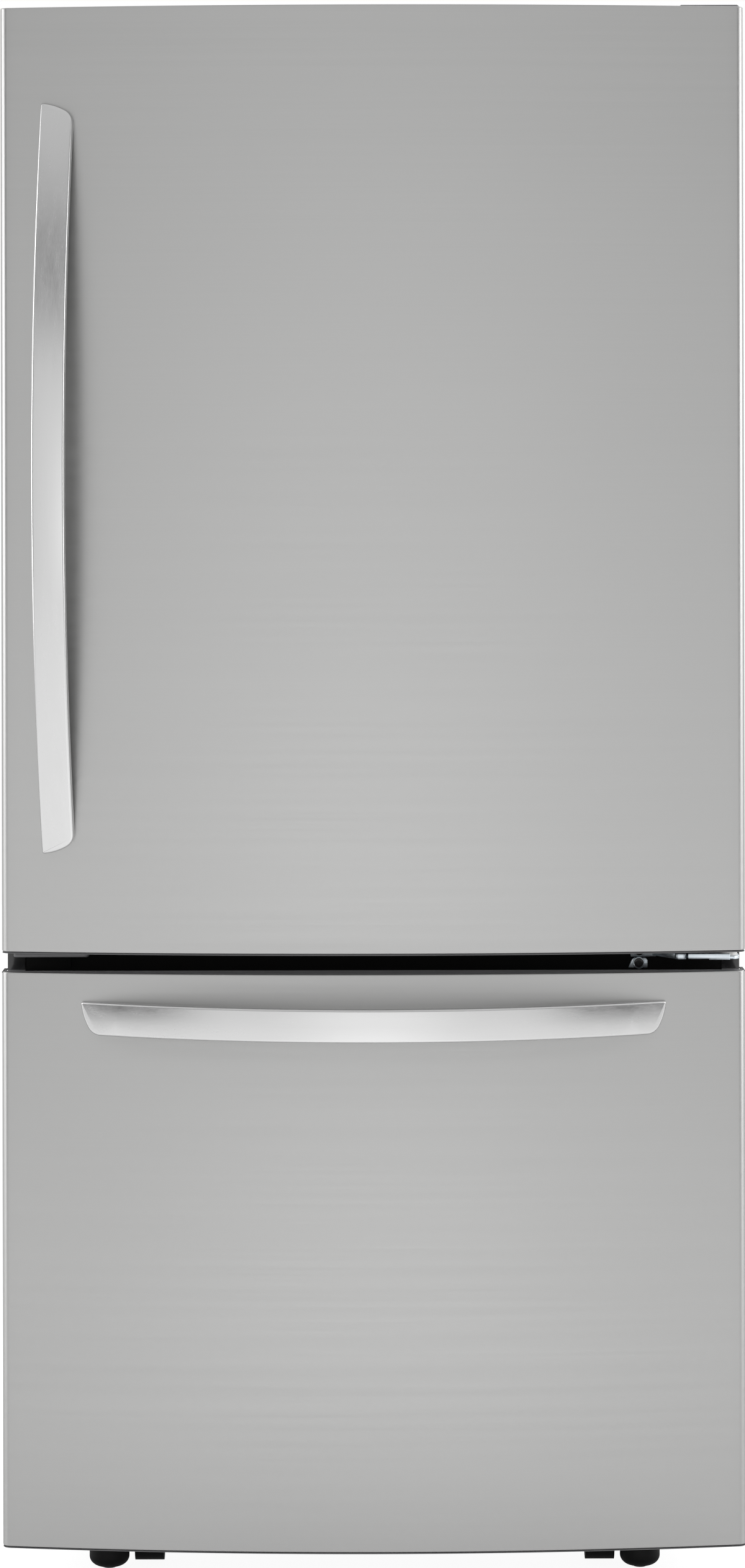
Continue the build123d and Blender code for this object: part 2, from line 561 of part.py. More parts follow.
def make_hinges():
    plate_z = CASE_TOP + HINGE_PLATE
    leaf_x = HINGE_X - LEAF_REACH
    top = top_plate()
    top += block(leaf_x, HINGE_X + HINGE_NOSE, CASE_FRONT + 4, CASE_FRONT + LEAF_DEPTH, CASE_TOP, plate_z)
    top += rod("z", PIN_RADIUS, CASE_TOP - PIN_LENGTH, CASE_TOP, HINGE_X, HINGE_Y)
    save("top_hinge_bracket", top)

    face_y = CASE_FRONT - FLANGE_LEAF
    lap_y = face_y + 1
    nose_y = HINGE_Y - HINGE_NOSE
    end_x = HINGE_X + HINGE_NOSE
    outer_x = HINGE_X - SLANT_OUTER
    inner_x = HINGE_X - SLANT_INNER
    plan = Polyline((HINGE_X, nose_y), (outer_x, nose_y), (inner_x, lap_y), (end_x, lap_y), (end_x, HINGE_Y))
    plan += RadiusArc((end_x, HINGE_Y), (HINGE_X, nose_y), HINGE_NOSE)
    middle = Pos(0, 0, HINGE_LEVEL - HINGE_PLATE) * extrude(make_face(plan), HINGE_PLATE)
    rib = Polyline((inner_x, lap_y), (outer_x, nose_y + 3), (outer_x + 3, nose_y + 3), (inner_x + 6, lap_y),
                   close=True)
    middle += Pos(0, 0, HINGE_LEVEL - HINGE_PLATE - 3) * extrude(make_face(rib), HINGE_PLATE + 6)
    middle += block(HINGE_X - FLANGE_REACH, end_x, face_y, CASE_FRONT, HINGE_LEVEL - FLANGE_HALF,
                    HINGE_LEVEL + FLANGE_HALF)
    washer_z = HINGE_LEVEL + DOOR_REST
    middle += rod("z", WASHER_RADIUS, HINGE_LEVEL, washer_z, HINGE_X, HINGE_Y)
    middle += rod("z", PIN_RADIUS, washer_z, washer_z + PIN_LENGTH, HINGE_X, HINGE_Y)
    save("middle_hinge_bracket", middle)

    wall = HINGE_COVER_WALL
    x0 = leaf_x - 8
    x1 = end_x + 3
    y0 = nose_y - 3
    y1 = CASE_FRONT + LEAF_DEPTH + 8
    cover = block(x0, x1, y0, y1, CASE_TOP, ROOF)
    cover = chamfer(cover.faces().sort_by(Axis.Z)[-1].edges(), 4)
    cover = fillet(cover.edges().filter_by(Axis.Z).group_by(Axis.Y)[0], 6)
    hollow = block(x0 + wall, x1 - wall, y0 + wall, y1 - wall, CASE_TOP - 1, ROOF - wall)
    hollow = chamfer(hollow.faces().sort_by(Axis.Z)[-1].edges(), 3)
    save("top_hinge_cover", cover - hollow)


def hinge_recess():
    """Room in the door's upper right end for the hinge leaf and its cover to swing."""
    return block(HINGE_X - LEAF_REACH - 12, HALF + 1, HINGE_Y - RECESS_REACH, FRONT_REAR + 1, CASE_TOP - 5,
                 DOOR_TOP + 10)


# ================================================================ upper door
def make_door():
    cap_top = DOOR_TOP - 2
    cap_bottom = DOOR_TOP - DOOR_TOP_CAP
    liner_y = FRONT_REAR - LINER
    recess = hinge_recess()
    skin = front_slab(DOOR_BOTTOM, DOOR_TOP) - front_slab(DOOR_BOTTOM - 1, DOOR_TOP + 1, SHEET, FRONT_REAR + 1)
    save("door_skin", skin - recess)

    upper = front_slab(cap_bottom, cap_top, SHEET, liner_y) - recess
    upper -= rod("z", PIN_RADIUS + PIN_CLEARANCE, CASE_TOP - PIN_LENGTH - 2, CASE_TOP, HINGE_X, HINGE_Y)
    lower = front_slab(DOOR_BOTTOM - CAP_RIM, DOOR_BOTTOM, 0.0, FRONT_REAR)
    lower += front_slab(DOOR_BOTTOM, DOOR_BOTTOM + DOOR_CAP, SHEET, liner_y)
    bush_top = HINGE_LEVEL + DOOR_REST + PIN_LENGTH + 2
    lower -= rod("z", PIN_RADIUS + PIN_CLEARANCE, DOOR_BOTTOM - 9, bush_top, HINGE_X, HINGE_Y)
    plug_z1 = DOOR_BOTTOM - CAP_RIM
    plug = block(-HALF + 28, -HALF + 98, FRONT_CORNER + 5, FRONT_REAR - 8, plug_z1 - 4.5, plug_z1)
    plug = chamfer(plug.faces().sort_by(Axis.Z)[0].edges(), 1.5)
    save("door_caps", upper, lower, plug)

    save("door_foam", front_slab(DOOR_BOTTOM + DOOR_CAP, cap_bottom, SHEET, liner_y))

    inner = HALF - SHEET
    liner = block(-inner, inner, liner_y, FRONT_REAR, DOOR_BOTTOM, cap_top) - recess
    ridge_y = FRONT_REAR + DIKE_DEPTH
    ridge_z0 = FRIDGE_FLOOR + 16
    ridge_z1 = FRIDGE_CEILING - 16
    ridge = ring(DIKE_OUTER, ridge_z0, ridge_z1, FRONT_REAR, ridge_y, DIKE_WIDTH)
    ridge = chamfer(ridge.faces().sort_by(Axis.Y)[-1].edges(), 4)
    save("door_liner", liner + ridge)

    z0 = FRIDGE_FLOOR - GASKET_OVERLAP
    z1 = FRIDGE_CEILING + GASKET_OVERLAP
    save("door_gasket", gasket(z0, z1))
    save("door_handle", door_handle())
    make_door_bins()


def gasket(z0, z1):
    """Moulded magnetic seal: a wide foot on the liner and a narrower head at the case."""
    mid = FRONT_REAR + 5
    inset = (GASKET_WIDTH - GASKET_HEAD) / 2
    foot = ring(GASKET_HALF, z0, z1, FRONT_REAR, mid, GASKET_WIDTH)
    head = ring(GASKET_HALF - inset, z0 + inset, z1 - inset, mid, CASE_FRONT - GASKET_CLEARANCE, GASKET_HEAD)
    return foot + head


def bow_strap(length, bow):
    """Curved handle strap along X, bowed to -Y, with slanted ends; its ends run into y = 0."""
    half = length / 2
    radius = (half**2 + bow**2) / (2 * bow)
    past = half + 12
    drop = bow - radius + sqrt(radius**2 - past**2)
    inner = radius - HANDLE_THICKNESS
    inner_drop = bow - radius + sqrt(inner**2 - past**2)
    outer_arc = ThreePointArc((-past, -drop), (0, -bow), (past, -drop))
    inner_arc = ThreePointArc((past, -inner_drop), (0, HANDLE_THICKNESS - bow), (-past, -inner_drop))
    outline = outer_arc + Line((past, -drop), (past, -inner_drop)) + inner_arc
    outline += Line((-past, -inner_drop), (-past, -drop))
    strap = extrude(make_face(outline), HANDLE_WIDTH)
    strap = Pos(0, 0, -HANDLE_WIDTH / 2) * strap
    long_edges = ShapeList([e for e in strap.edges() if e.length > length * 0.8])
    outer_edges = long_edges.sort_by(Axis.Y)[:2]
    strap = fillet(outer_edges, HANDLE_EDGE)
    long_edges = ShapeList([e for e in strap.edges() if e.length > length * 0.8])
    strap = chamfer(long_edges.sort_by(Axis.Y)[-2:], HANDLE_BACK_EDGE)
    for side in (-1, 1):
        wedge = make_face(Polyline((half, HANDLE_WIDTH / 2), (half - HANDLE_SLANT, -HANDLE_WIDTH / 2),
                                   (half - HANDLE_SLANT, -HANDLE_WIDTH), (half + 60, -HANDLE_WIDTH),
                                   (half + 60, HANDLE_WIDTH), (half, HANDLE_WIDTH), close=True))
        cutter = Pos(0, 60, 0) * extrude(Plane.XZ * wedge, 200)
        strap -= cutter if side == 1 else mirror(cutter, about=Plane.YZ)
    return strap


def door_handle():
    """Upright strap on the left of the door, square to the bowed face where it stands."""
    tilt = degrees(asin(DOOR_HANDLE_X / FRONT_BOW))
    surface_y = BOW_CENTRE - sqrt(FRONT_BOW**2 - DOOR_HANDLE_X**2)
    strap = bow_strap(DOOR_HANDLE_LENGTH, HANDLE_BOW)
    strap = Rot(0, -90, 0) * strap
    strap = Pos(DOOR_HANDLE_X, surface_y, DOOR_HANDLE_Z) * Rot(0, 0, tilt) * strap
    return (strap - front_slab(DOOR_BOTTOM, DOOR_TOP)).solids().sort_by(SortBy.VOLUME)[-1]


def drawer_handle():
    """Level strap across the drawer front."""
    half = DRAWER_HANDLE_LENGTH / 2
    fall = FRONT_BOW - sqrt(FRONT_BOW**2 - half**2)
    strap = bow_strap(DRAWER_HANDLE_LENGTH, HANDLE_BOW + fall)
    strap = Pos(0, FRONT_NOSE + fall, DRAWER_HANDLE_Z) * strap
    return (strap - front_slab(DRAWER_BOTTOM, DRAWER_TOP)).solids().sort_by(SortBy.VOLUME)[-1]


def make_door_bins():
    bins = []
    lowest = FRIDGE_FLOOR + BIN_RISE
    for share, height in zip(BIN_SHARES, BIN_HEIGHTS):
        level = lowest + share * (DAIRY_BOTTOM - lowest)
        bins.append(tub(-DIKE_INNER, DIKE_INNER, FRONT_REAR, BIN_Y1, level, level + height, draft=0.0,
                        square=True))
    save("door_bins", *bins)

    wall = TUB_WALL
    dairy = block(DAIRY_X0, DAIRY_X1, FRONT_REAR, BIN_Y1, DAIRY_BOTTOM, DAIRY_TOP)
    dairy -= block(DAIRY_X0 + wall, DAIRY_X1 - wall, FRONT_REAR + wall, BIN_Y1 + 1, DAIRY_BOTTOM + wall, DAIRY_TOP - wall)
    front_cut = block(DAIRY_X0 + wall, DAIRY_X1 - wall, BIN_Y1 - 24, BIN_Y1 + 1, DAIRY_TOP - wall - 1, DAIRY_TOP + 1)
    dairy -= front_cut
    dairy -= rod("x", LID_PIN + LID_CLEARANCE, DAIRY_X0 - 1, DAIRY_X1 + 1, LID_Y, LID_Z)
    tray_x0 = DAIRY_X1 + 4
    side_bin = tub(tray_x0, DIKE_INNER, FRONT_REAR, BIN_Y1, DAIRY_BOTTOM, DAIRY_TOP - 15, draft=0.0,
                   square=True)
    save("dairy_bin", dairy, side_bin)

    gap = 0.6
    x0 = DAIRY_X0 + wall + gap
    x1 = DAIRY_X1 - wall - gap
    flap = block(x0, x1, LID_Y - LID_THICKNESS / 2, LID_Y + LID_THICKNESS / 2, DAIRY_BOTTOM + wall + gap, LID_Z)
    flap += rod("x", LID_PIN, DAIRY_X0 + 0.5, DAIRY_X1 - 0.5, LID_Y, LID_Z)
    lip_z = DAIRY_BOTTOM + wall + gap
    flap += block(x0 + 60, x1 - 60, LID_Y, LID_Y + 7, lip_z, lip_z + 4)
    save("dairy_lid", flap)


# ================================================================ freezer drawer
def make_drawer():
    cap_top = DRAWER_TOP - SHEET
    liner_y = FRONT_REAR - LINER
    skin = front_slab(DRAWER_BOTTOM, DRAWER_TOP)
    skin -= front_slab(DRAWER_BOTTOM - 1, cap_top, SHEET, FRONT_REAR + 1)
    skin -= front_slab(cap_top - 1, DRAWER_TOP + 1, 0.0, FRONT_REAR + 1) & block(
        -HALF + FOLD_WIDTH, HALF - FOLD_WIDTH, FRONT_CORNER + FOLD_WIDTH, FRONT_REAR + 1, cap_top - 1, DRAWER_TOP + 1)
    save("drawer_skin", skin)

    upper = front_slab(cap_top - CAP_THICKNESS, cap_top, SHEET, liner_y)
    lower = front_slab(DRAWER_BOTTOM, DRAWER_BOTTOM + CAP_THICKNESS, SHEET, liner_y)
    save("drawer_caps", upper, lower)
    save("drawer_foam", front_slab(DRAWER_BOTTOM + CAP_THICKNESS, cap_top - CAP_THICKNESS, SHEET, liner_y))

    inner = HALF - SHEET
    liner = block(-inner, inner, liner_y, FRONT_REAR, DRAWER_BOTTOM, cap_top)
    pad = block(-ARM_INNER + 34, ARM_INNER - 34, FRONT_REAR, FRONT_REAR + 14, FREEZER_FLOOR + 40, FREEZER_CEILING - 40)
    pad = chamfer(pad.faces().sort_by(Axis.Y)[-1].edges(), 5)
    save("drawer_liner", liner + pad)
    save("drawer_gasket", gasket(FREEZER_FLOOR - GASKET_WIDTH - 8, FREEZER_CEILING + GASKET_WIDTH + 1))
    save("drawer_handle", drawer_handle())
    make_drawer_gear()


def channel(web_x, lip_x, y0, y1, inset):
    """Right-hand C-shaped rail: web between web_x and the sheet inward, lips out to lip_x."""
    z0 = RAIL_BOTTOM + inset
    z1 = RAIL_BOTTOM + RAIL_HEIGHT - inset
    web = sorted((web_x, web_x - RAIL_SHEET))
    span = sorted((web_x, lip_x))
    rail = block(web[0], web[1], y0, y1, z0, z1)
    rail += block(min(web[0], span[0]), max(web[1], span[1]), y0, y1, z0, z0 + RAIL_SHEET)
    rail += block(min(web[0], span[0]), max(web[1], span[1]), y0, y1, z1 - RAIL_SHEET, z1)
    return rail


def rack_bar(x0, x1, y0, y1, mesh_y):
    """Rack with its teeth up; a tooth gap stands at mesh_y."""
    pitch = pi * GEAR_MODULE
    slope = tan(radians(PRESSURE_ANGLE))
    top = RACK_PITCH + ADDENDUM * GEAR_MODULE
    half_top = pitch / 4 - ADDENDUM * GEAR_MODULE * slope
    half_root = pitch / 4 + DEDENDUM * GEAR_MODULE * slope
    points = [(y0, RACK_ROOT)]
    first = int((y0 - mesh_y) / pitch) - 1
    count = int((y1 - y0) / pitch) + 3
    for number in range(first, first + count):
        centre = mesh_y + (number + 0.5) * pitch
        if centre - half_root <= y0 or centre + half_root >= y1:
            continue
        points += [(centre - half_root, RACK_ROOT), (centre - half_top, top),
                   (centre + half_top, top), (centre + half_root, RACK_ROOT)]
    points += [(y1, RACK_ROOT), (y1, RAIL_BOTTOM), (y0, RAIL_BOTTOM)]
    profile = make_face(Polyline(*points, close=True))
    return Pos(x0, 0, 0) * extrude(Plane.YZ * profile, x1 - x0)


def pinion_profile():
    """Involute pinion outline about the origin, one tooth pointing to -Y of its own plane."""
    base = GEAR_PITCH * cos(radians(PRESSURE_ANGLE))
    tip = GEAR_PITCH + ADDENDUM * GEAR_MODULE
    root = GEAR_PITCH - DEDENDUM * GEAR_MODULE
    alpha = radians(PRESSURE_ANGLE)
    half_pitch = (pi * GEAR_MODULE / 2 - BACKLASH) / (2 * GEAR_PITCH)
    half_base = half_pitch + tan(alpha) - alpha

    def flank(radius):
        unrolled = sqrt((radius / base)**2 - 1)
        return half_base - (unrolled - atan2(unrolled, 1))

    radii = (base, (base + tip) / 2, tip)
    points = []
    for tooth in range(GEAR_TEETH):
        centre = -pi / 2 + tooth * 2 * pi / GEAR_TEETH
        points.append((root, centre - half_base))
        points += [(radius, centre - flank(radius)) for radius in radii]
        points += [(radius, centre + flank(radius)) for radius in reversed(radii)]
        points.append((root, centre + half_base))
    return make_face(Polyline(*[(r * cos(a), r * sin(a)) for r, a in points], close=True))


def make_drawer_gear():
    wall = FREEZER_HALF
    mid_web = wall - RAIL_STEP
    inner_web = mid_web - RAIL_STEP
    gap = RAIL_CLEARANCE
    lip = RAIL_STEP + RAIL_SHEET
    outer = channel(wall, wall - lip - 3, RAIL_Y0, RAIL_Y1, 0.0)
    mid_inset = RAIL_SHEET + gap
    middle = channel(mid_web, wall - RAIL_SHEET - gap, RAIL_Y0, RAIL_Y1, mid_inset)
    middle += channel(mid_web, mid_web - lip, RAIL_Y0, RAIL_Y1, mid_inset)
    inner = channel(inner_web, mid_web - RAIL_SHEET - gap, RAIL_Y0, RAIL_Y1, mid_inset + RAIL_SHEET + gap)
    save("slide_outer", *both_sides(outer))
    save("slide_middle", *both_sides(middle))

    rack_x1 = ARM_INNER - PINION_GAP
    rack_x0 = rack_x1 - PINION_WIDTH - 1
    rack = rack_bar(rack_x0, rack_x1, CASE_FRONT + 4, RAIL_Y1, PINION_Y)
    rack += block(rack_x0, wall, CASE_FRONT + 4, RAIL_Y1, RAIL_BOTTOM - 4, RAIL_BOTTOM)
    save("slide_racks", *both_sides(rack))

    rim_z = RAIL_BOTTOM + RAIL_HEIGHT - (mid_inset + RAIL_SHEET + gap)
    arm_z0 = RAIL_BOTTOM + mid_inset + RAIL_SHEET + gap
    arm = block(ARM_INNER, ARM_OUTER, FRONT_REAR, RAIL_Y1 + 4, arm_z0, rim_z)
    arm = chamfer(arm.edges().filter_by(Axis.X).group_by(Axis.Y)[-1], 8)
    arm -= rod("x", SHAFT_RADIUS + SHAFT_CLEARANCE, ARM_INNER - 1, ARM_OUTER + 1, PINION_Y, PINION_Z)
    foot = block(ARM_INNER - 26, ARM_OUTER, FRONT_REAR, FRONT_REAR + 4, arm_z0 - 36, rim_z + 44)
    foot = chamfer(foot.edges().filter_by(Axis.Y), 6)
    save("drawer_frame", *both_sides(arm + foot), *both_sides(inner))

    save("sync_shaft", rod("x", SHAFT_RADIUS, -ARM_OUTER + 0.2, ARM_OUTER - 0.2, PINION_Y, PINION_Z))
    pinion = extrude(Plane.YZ * (pinion_profile() - Circle(SHAFT_RADIUS)), PINION_WIDTH)
    save("pinions", *[Pos(x, PINION_Y, PINION_Z) * pinion for x in (-rack_x1, rack_x1 - PINION_WIDTH)])

    bin_half = rack_x0 - 3
    bin_y0 = FRONT_REAR + 18
    bin_y1 = PINION_Y - GEAR_PITCH - 8
    lower = tub(-bin_half, bin_half, bin_y0, bin_y1, FREEZER_FLOOR + 12, LOWER_BIN_TOP, draft=8.0, radius=24.0)
    for side in both_sides(block(bin_half - 3.5, ARM_OUTER - gap, bin_y0 + 40, bin_y1 - 40, rim_z, rim_z + 4)):
        lower += side
    save("lower_bin", lower)

    tray_y1 = FREEZER_BACK - COVER_GAP - COVER_THICKNESS - 6
    tray_z = UPPER_TRAY_BOTTOM
    tray_half = FREEZER_HALF - TRAY_LEDGE - 3
    tray = tub(-tray_half, tray_half, CASE_FRONT + 24, tray_y1, tray_z - 20, tray_z + UPPER_TRAY_HEIGHT - 20,
               draft=6.0, radius=20.0)
    for runner in both_sides(block(tray_half - 6.5, FREEZER_HALF - 4, CASE_FRONT + 60, tray_y1 - 24,
                                   tray_z, tray_z + 5)):
        tray += runner
    save("upper_tray", tray)


# ================================================================ fridge storage
def make_crispers():
    side = FRIDGE_HALF - SHELF_SIDE_GAP
    y1 = SHELF_Y1 - 40
    left = tub(-side + 6, -CRISPER_GAP / 2, SHELF_Y0, y1, CRISPER_BOTTOM, CRISPER_TOP)
    left += block(-side + 60, -60, SHELF_Y0 + 2, SHELF_Y0 + 13, CRISPER_TOP - 30, CRISPER_TOP - 27)
    save("crisper_left", left)
    save("crisper_right", mirror(left, about=Plane.YZ))

    cover_z0 = CRISPER_COVER_BOTTOM
    cover = block(-side, side, SHELF_Y0 + 4, SHELF_Y1, cover_z0, CRISPER_COVER_TOP)
    rim = SHELF_RIM
    cover -= block(-side + rim, side - rim, SHELF_Y0 + 4 + rim, SHELF_Y1 - rim, cover_z0 - 1, CRISPER_COVER_TOP + 1)
    glass_y0 = SHELF_Y0 + 4 + rim
    glass = block(-side + rim, side - rim, glass_y0, SHELF_Y1 - rim, CRISPER_COVER_TOP - GLASS, CRISPER_COVER_TOP)
    slot_z = (cover_z0 + CRISPER_COVER_TOP) / 2
    slot_half = (SLIDER_TRAVEL + SLIDER_LENGTH) / 2
    slot_x = side / 2
    slot = block(slot_x - slot_half - 1, slot_x + slot_half + 1, SHELF_Y0, SHELF_Y0 + 6 + rim, slot_z - 3, slot_z + 3)
    slot += block(slot_x - slot_half - 1, slot_x + slot_half + 1, SHELF_Y0 + 8, SHELF_Y0 + 6 + rim, slot_z - 6, slot_z + 6)
    cover -= slot
    save("crisper_cover", cover, glass)

    x0 = slot_x - slot_half
    x1 = x0 + SLIDER_LENGTH
    tab = block(x0, x1, SHELF_Y0 + 1, SHELF_Y0 + 10, slot_z - 2.6, slot_z + 2.6)
    tab += block(x0, x1, SHELF_Y0 + 8.4, SHELF_Y0 + 11, slot_z - 5.6, slot_z + 5.6)
    save("humidity_slider", tab)

    z0 = PANTRY_BOTTOM
    z1 = z0 + PANTRY_HEIGHT
    pantry_side = side - PANTRY_INSET
    pantry = tub(-pantry_side, pantry_side, SHELF_Y0, y1, z0, z1)
    flanges = both_sides(block(pantry_side - 1, pantry_side + RUNNER + 1, SHELF_Y0 + 14, y1 - 20,
                               z1 - PANTRY_FLANGE, z1))
    save("pantry_drawer", *[pantry + flanges[0] + flanges[1]])


def make_shelves():
    side = FRIDGE_HALF - SHELF_SIDE_GAP
    duct = block(-DUCT_HALF, DUCT_HALF, DUCT_Y, FRIDGE_BACK, DUCT_BOTTOM, DUCT_TOP)
    duct = chamfer(duct.faces().sort_by(Axis.Y)[0].edges().filter_by(Axis.Z), 8)
    spacing = (DUCT_TOP - DUCT_BOTTOM) / DUCT_VENTS
    for x in (-DUCT_HALF / 2, DUCT_HALF / 2):
        for level in range(DUCT_VENTS):
            z = DUCT_BOTTOM + (level + 0.5) * spacing
            duct -= block(x - 45, x + 45, DUCT_Y - 1, DUCT_Y + 8, z, z + 12)
    save("air_duct", duct)

    ladder_x = side - 14 - LADDER_WIDTH / 2
    z0 = DUCT_BOTTOM + 10
    z1 = DUCT_TOP - 10
    slot_width, slot_height = LADDER_SLOT
    slots = int((z1 - z0) / LADDER_PITCH)
    ladders = []
    for x, columns in ((-ladder_x, (0,)), (0, (-11, 11)), (ladder_x, (0,))):
        half = LADDER_WIDTH / 2 * len(columns)
        strip = block(x - half, x + half, LADDER_Y, DUCT_Y, z0, z1)
        for number in range(slots):
            z = z0 + LADDER_PITCH * (number + 0.5)
            for column in columns:
                slot_x = x + column - slot_width / 2
                strip -= block(slot_x, slot_x + slot_width, LADDER_Y - 1, DUCT_Y + 1, z, z + slot_height)
        ladders.append(strip)
    save("shelf_ladders", *ladders)

    frames = []
    panes = []
    half_split = SHELF_SPLIT / 2
    room = FRIDGE_CEILING - PANTRY_SHELF_TOP
    for shares, x0, x1 in ((SHELVES_LEFT, -side, -half_split), (SHELVES_RIGHT, half_split, side)):
        for share in shares:
            frame, pane = cantilever_shelf(x0, x1, PANTRY_SHELF_TOP + share * room)
            frames.append(frame)
            panes.append(pane)
    frame, pane = cantilever_shelf(-side, side, PANTRY_SHELF_TOP, PANTRY_BRACKET_DROP)
    for rail in both_sides(pantry_rail(side)):
        frame += rail
    frames.append(frame)
    panes.append(pane)
    save("shelf_frames", *frames)
    save("shelf_glass", *panes)


def pantry_rail(side):
    """Rail under the pantry shelf that the pantry drawer's flange slides in."""
    flange_z1 = PANTRY_BOTTOM + PANTRY_HEIGHT
    flange_z0 = flange_z1 - PANTRY_FLANGE
    pantry_side = side - PANTRY_INSET
    x0 = pantry_side + 1.5
    rail = block(x0, side, SHELF_Y0 + 6, SHELF_Y1, flange_z0 - 4, PANTRY_SHELF_TOP - SHELF_HEIGHT)
    groove = block(x0 - 1, pantry_side + RUNNER + 1 + RUNNER_GAP, SHELF_Y0, SHELF_Y1 - 10,
                   flange_z0 - RUNNER_GAP, flange_z1 + RUNNER_GAP)
    return rail - groove


def cantilever_shelf(x0, x1, top, drop=BRACKET_DROP):
    """Rim, two tapered side brackets and the glass pane of one shelf."""
    z0 = top - SHELF_HEIGHT
    frame = block(x0, x1, SHELF_Y0, SHELF_Y1, z0, top)
    frame -= block(x0 + SHELF_RIM, x1 - SHELF_RIM, SHELF_Y0 + SHELF_RIM, SHELF_Y1 - SHELF_RIM, z0 - 1, top + 1)
    pane = block(x0 + SHELF_RIM, x1 - SHELF_RIM, SHELF_Y0 + SHELF_RIM, SHELF_Y1 - SHELF_RIM, top - GLASS, top)
    web = make_face(Polyline((SHELF_Y0 + 60, z0), (SHELF_Y1, z0), (SHELF_Y1, z0 - drop),
                             (SHELF_Y1 - 60, z0 - drop + 4), close=True))
    left = x0 + (SHELF_BRACKET if x0 < -HALF / 2 else SHELF_SPLIT)
    right = x1 - (SHELF_BRACKET if x1 > HALF / 2 else SHELF_SPLIT) - 2
    for x in (left, right):
        frame += Pos(x, 0, 0) * extrude(Plane.YZ * web, 2)
    return frame, pane


def make_ceiling():
    z1 = FRIDGE_CEILING
    housing = block(-180, 180, CASE_FRONT + 46, CASE_FRONT + 216, z1 - 30, z1)
    housing = chamfer(housing.faces().sort_by(Axis.Z)[0].edges(), 8)
    lamp = block(-90, 90, CASE_FRONT + 110, CASE_FRONT + 190, z1 - 33, z1 - 30)
    keys = [block(x - 12, x + 12, CASE_FRONT + 70, CASE_FRONT + 86, z1 - 31.5, z1 - 30) for x in (-60, -20, 20, 60)]
    save("ceiling_panel", housing, lamp, *keys)


# ================================================================ cooling
def fan(radius):
    """Axial fan about Z: hub with a blind shaft bore at its back and pitched blades."""
    wheel = Cylinder(FAN_HUB, FAN_DEPTH)
    reach = radius - FAN_HUB + 2
    for number in range(FAN_BLADES):
        blade = make_face(Polyline((0, -FAN_HUB * 0.55), (reach * 0.75, -radius * 0.42), (reach, -radius * 0.2),
                                   (reach, radius * 0.26), (0, FAN_HUB * 0.55), close=True))
        blade = Pos(0, 0, -BLADE / 2) * extrude(blade, BLADE)
        wheel += Rot(0, 0, number * 360 / FAN_BLADES) * Pos(FAN_HUB - 2, 0, 0) * Rot(BLADE_PITCH, 0, 0) * blade
    return wheel - Pos(0, 0, 2) * Cylinder(FAN_SHAFT + FAN_SHAFT_CLEARANCE, FAN_DEPTH - 2)


def make_fans():
    half = MOTOR_HALF
    fan_y = FREEZER_BACK - COVER_GAP + 12
    save("evaporator_fan", Pos(0, fan_y, EVAP_FAN_Z) * Rot(-90, 0, 0) * fan(EVAP_FAN_RADIUS))
    motor_y = fan_y + FAN_DEPTH
    motor = block(-half, half, motor_y, FREEZER_BACK, EVAP_FAN_Z - half, EVAP_FAN_Z + half)
    motor += rod("y", FAN_SHAFT, fan_y + 2, motor_y, 0, EVAP_FAN_Z)

    y = BAY_MIDDLE
    z = (DECK + BAY_TOP) / 2
    plate_x = COND_FAN_X
    hole = COND_FAN_RADIUS + FAN_TIP_GAP
    save("condenser_fan", Pos(plate_x - 18, y, z) * Rot(0, 90, 0) * fan(COND_FAN_RADIUS))
    plate = block(plate_x, plate_x + 3, BAY_FRONT + 2, BACK - 6, DECK, BAY_TOP)
    plate -= rod("x", hole, plate_x - 1, plate_x + 4, y, z)
    for angle in (45, 135):
        plate += Pos(plate_x + 1.5, y, z) * Rot(angle, 0, 0) * Box(3, 2 * (hole + 2), 8)
    plate -= rod("x", TUBE_RADIUS + 1, plate_x - 1, plate_x + 4, y - OUTLET_OFFSET, DECK + DISCHARGE_HEIGHT)
    plate += block(plate_x, plate_x + MOTOR_LENGTH, y - half, y + half, z - half, z + half)
    plate += rod("x", FAN_SHAFT, plate_x - 16, plate_x, y, z)
    save("fan_motors", motor, plate)


def make_evaporator():
    y1 = FREEZER_BACK - 6
    y0 = y1 - EVAPORATOR_DEPTH
    z0 = EVAPORATOR_BOTTOM
    z1 = z0 + EVAPORATOR_HEIGHT
    half = EVAPORATOR_HALF
    fins = []
    for number in range(FIN_COUNT):
        x = -half + number * (2 * half - FIN) / (FIN_COUNT - 1)
        fins.append(block(x, x + FIN, y0, y1, z0, z1))
    core = fins[0].fuse(*fins[1:])
    for row in range(EVAPORATOR_ROWS):
        z = z0 + 30 + row * (EVAPORATOR_HEIGHT - 60) / (EVAPORATOR_ROWS - 1)
        core += block(-half, half, y0 + 10, y1 - 10, z - TUBE_RADIUS, z + TUBE_RADIUS)
    bracket = block(-half - 12, half + 12, y1, FREEZER_BACK, z0 + 60, z0 + 90)
    save("evaporator", core + bracket)

    cover_y1 = FREEZER_BACK - COVER_GAP
    cover_y0 = cover_y1 - COVER_THICKNESS
    half = FREEZER_HALF
    cover = block(-half, half, cover_y0, cover_y1, STEP_TOP, FREEZER_CEILING)
    cover -= rod("y", EVAP_FAN_RADIUS + FAN_TIP_GAP, cover_y0 - 1, cover_y1 + 1, 0, EVAP_FAN_Z)
    for number in range(COVER_SLOTS):
        x = (number - (COVER_SLOTS - 1) / 2) * 2 * half / COVER_SLOTS
        cover -= block(x - 28, x + 28, cover_y0 - 1, cover_y1 + 1, STEP_TOP + 20, STEP_TOP + 30)
    for angle in (0, 60, 120):
        bar = Pos(0, (cover_y0 + cover_y1) / 2, EVAP_FAN_Z) * Rot(0, angle, 0) * Box(
            2 * (EVAP_FAN_RADIUS + FAN_TIP_GAP + 2), COVER_THICKNESS, 5)
        cover += bar
    save("evaporator_cover", cover)


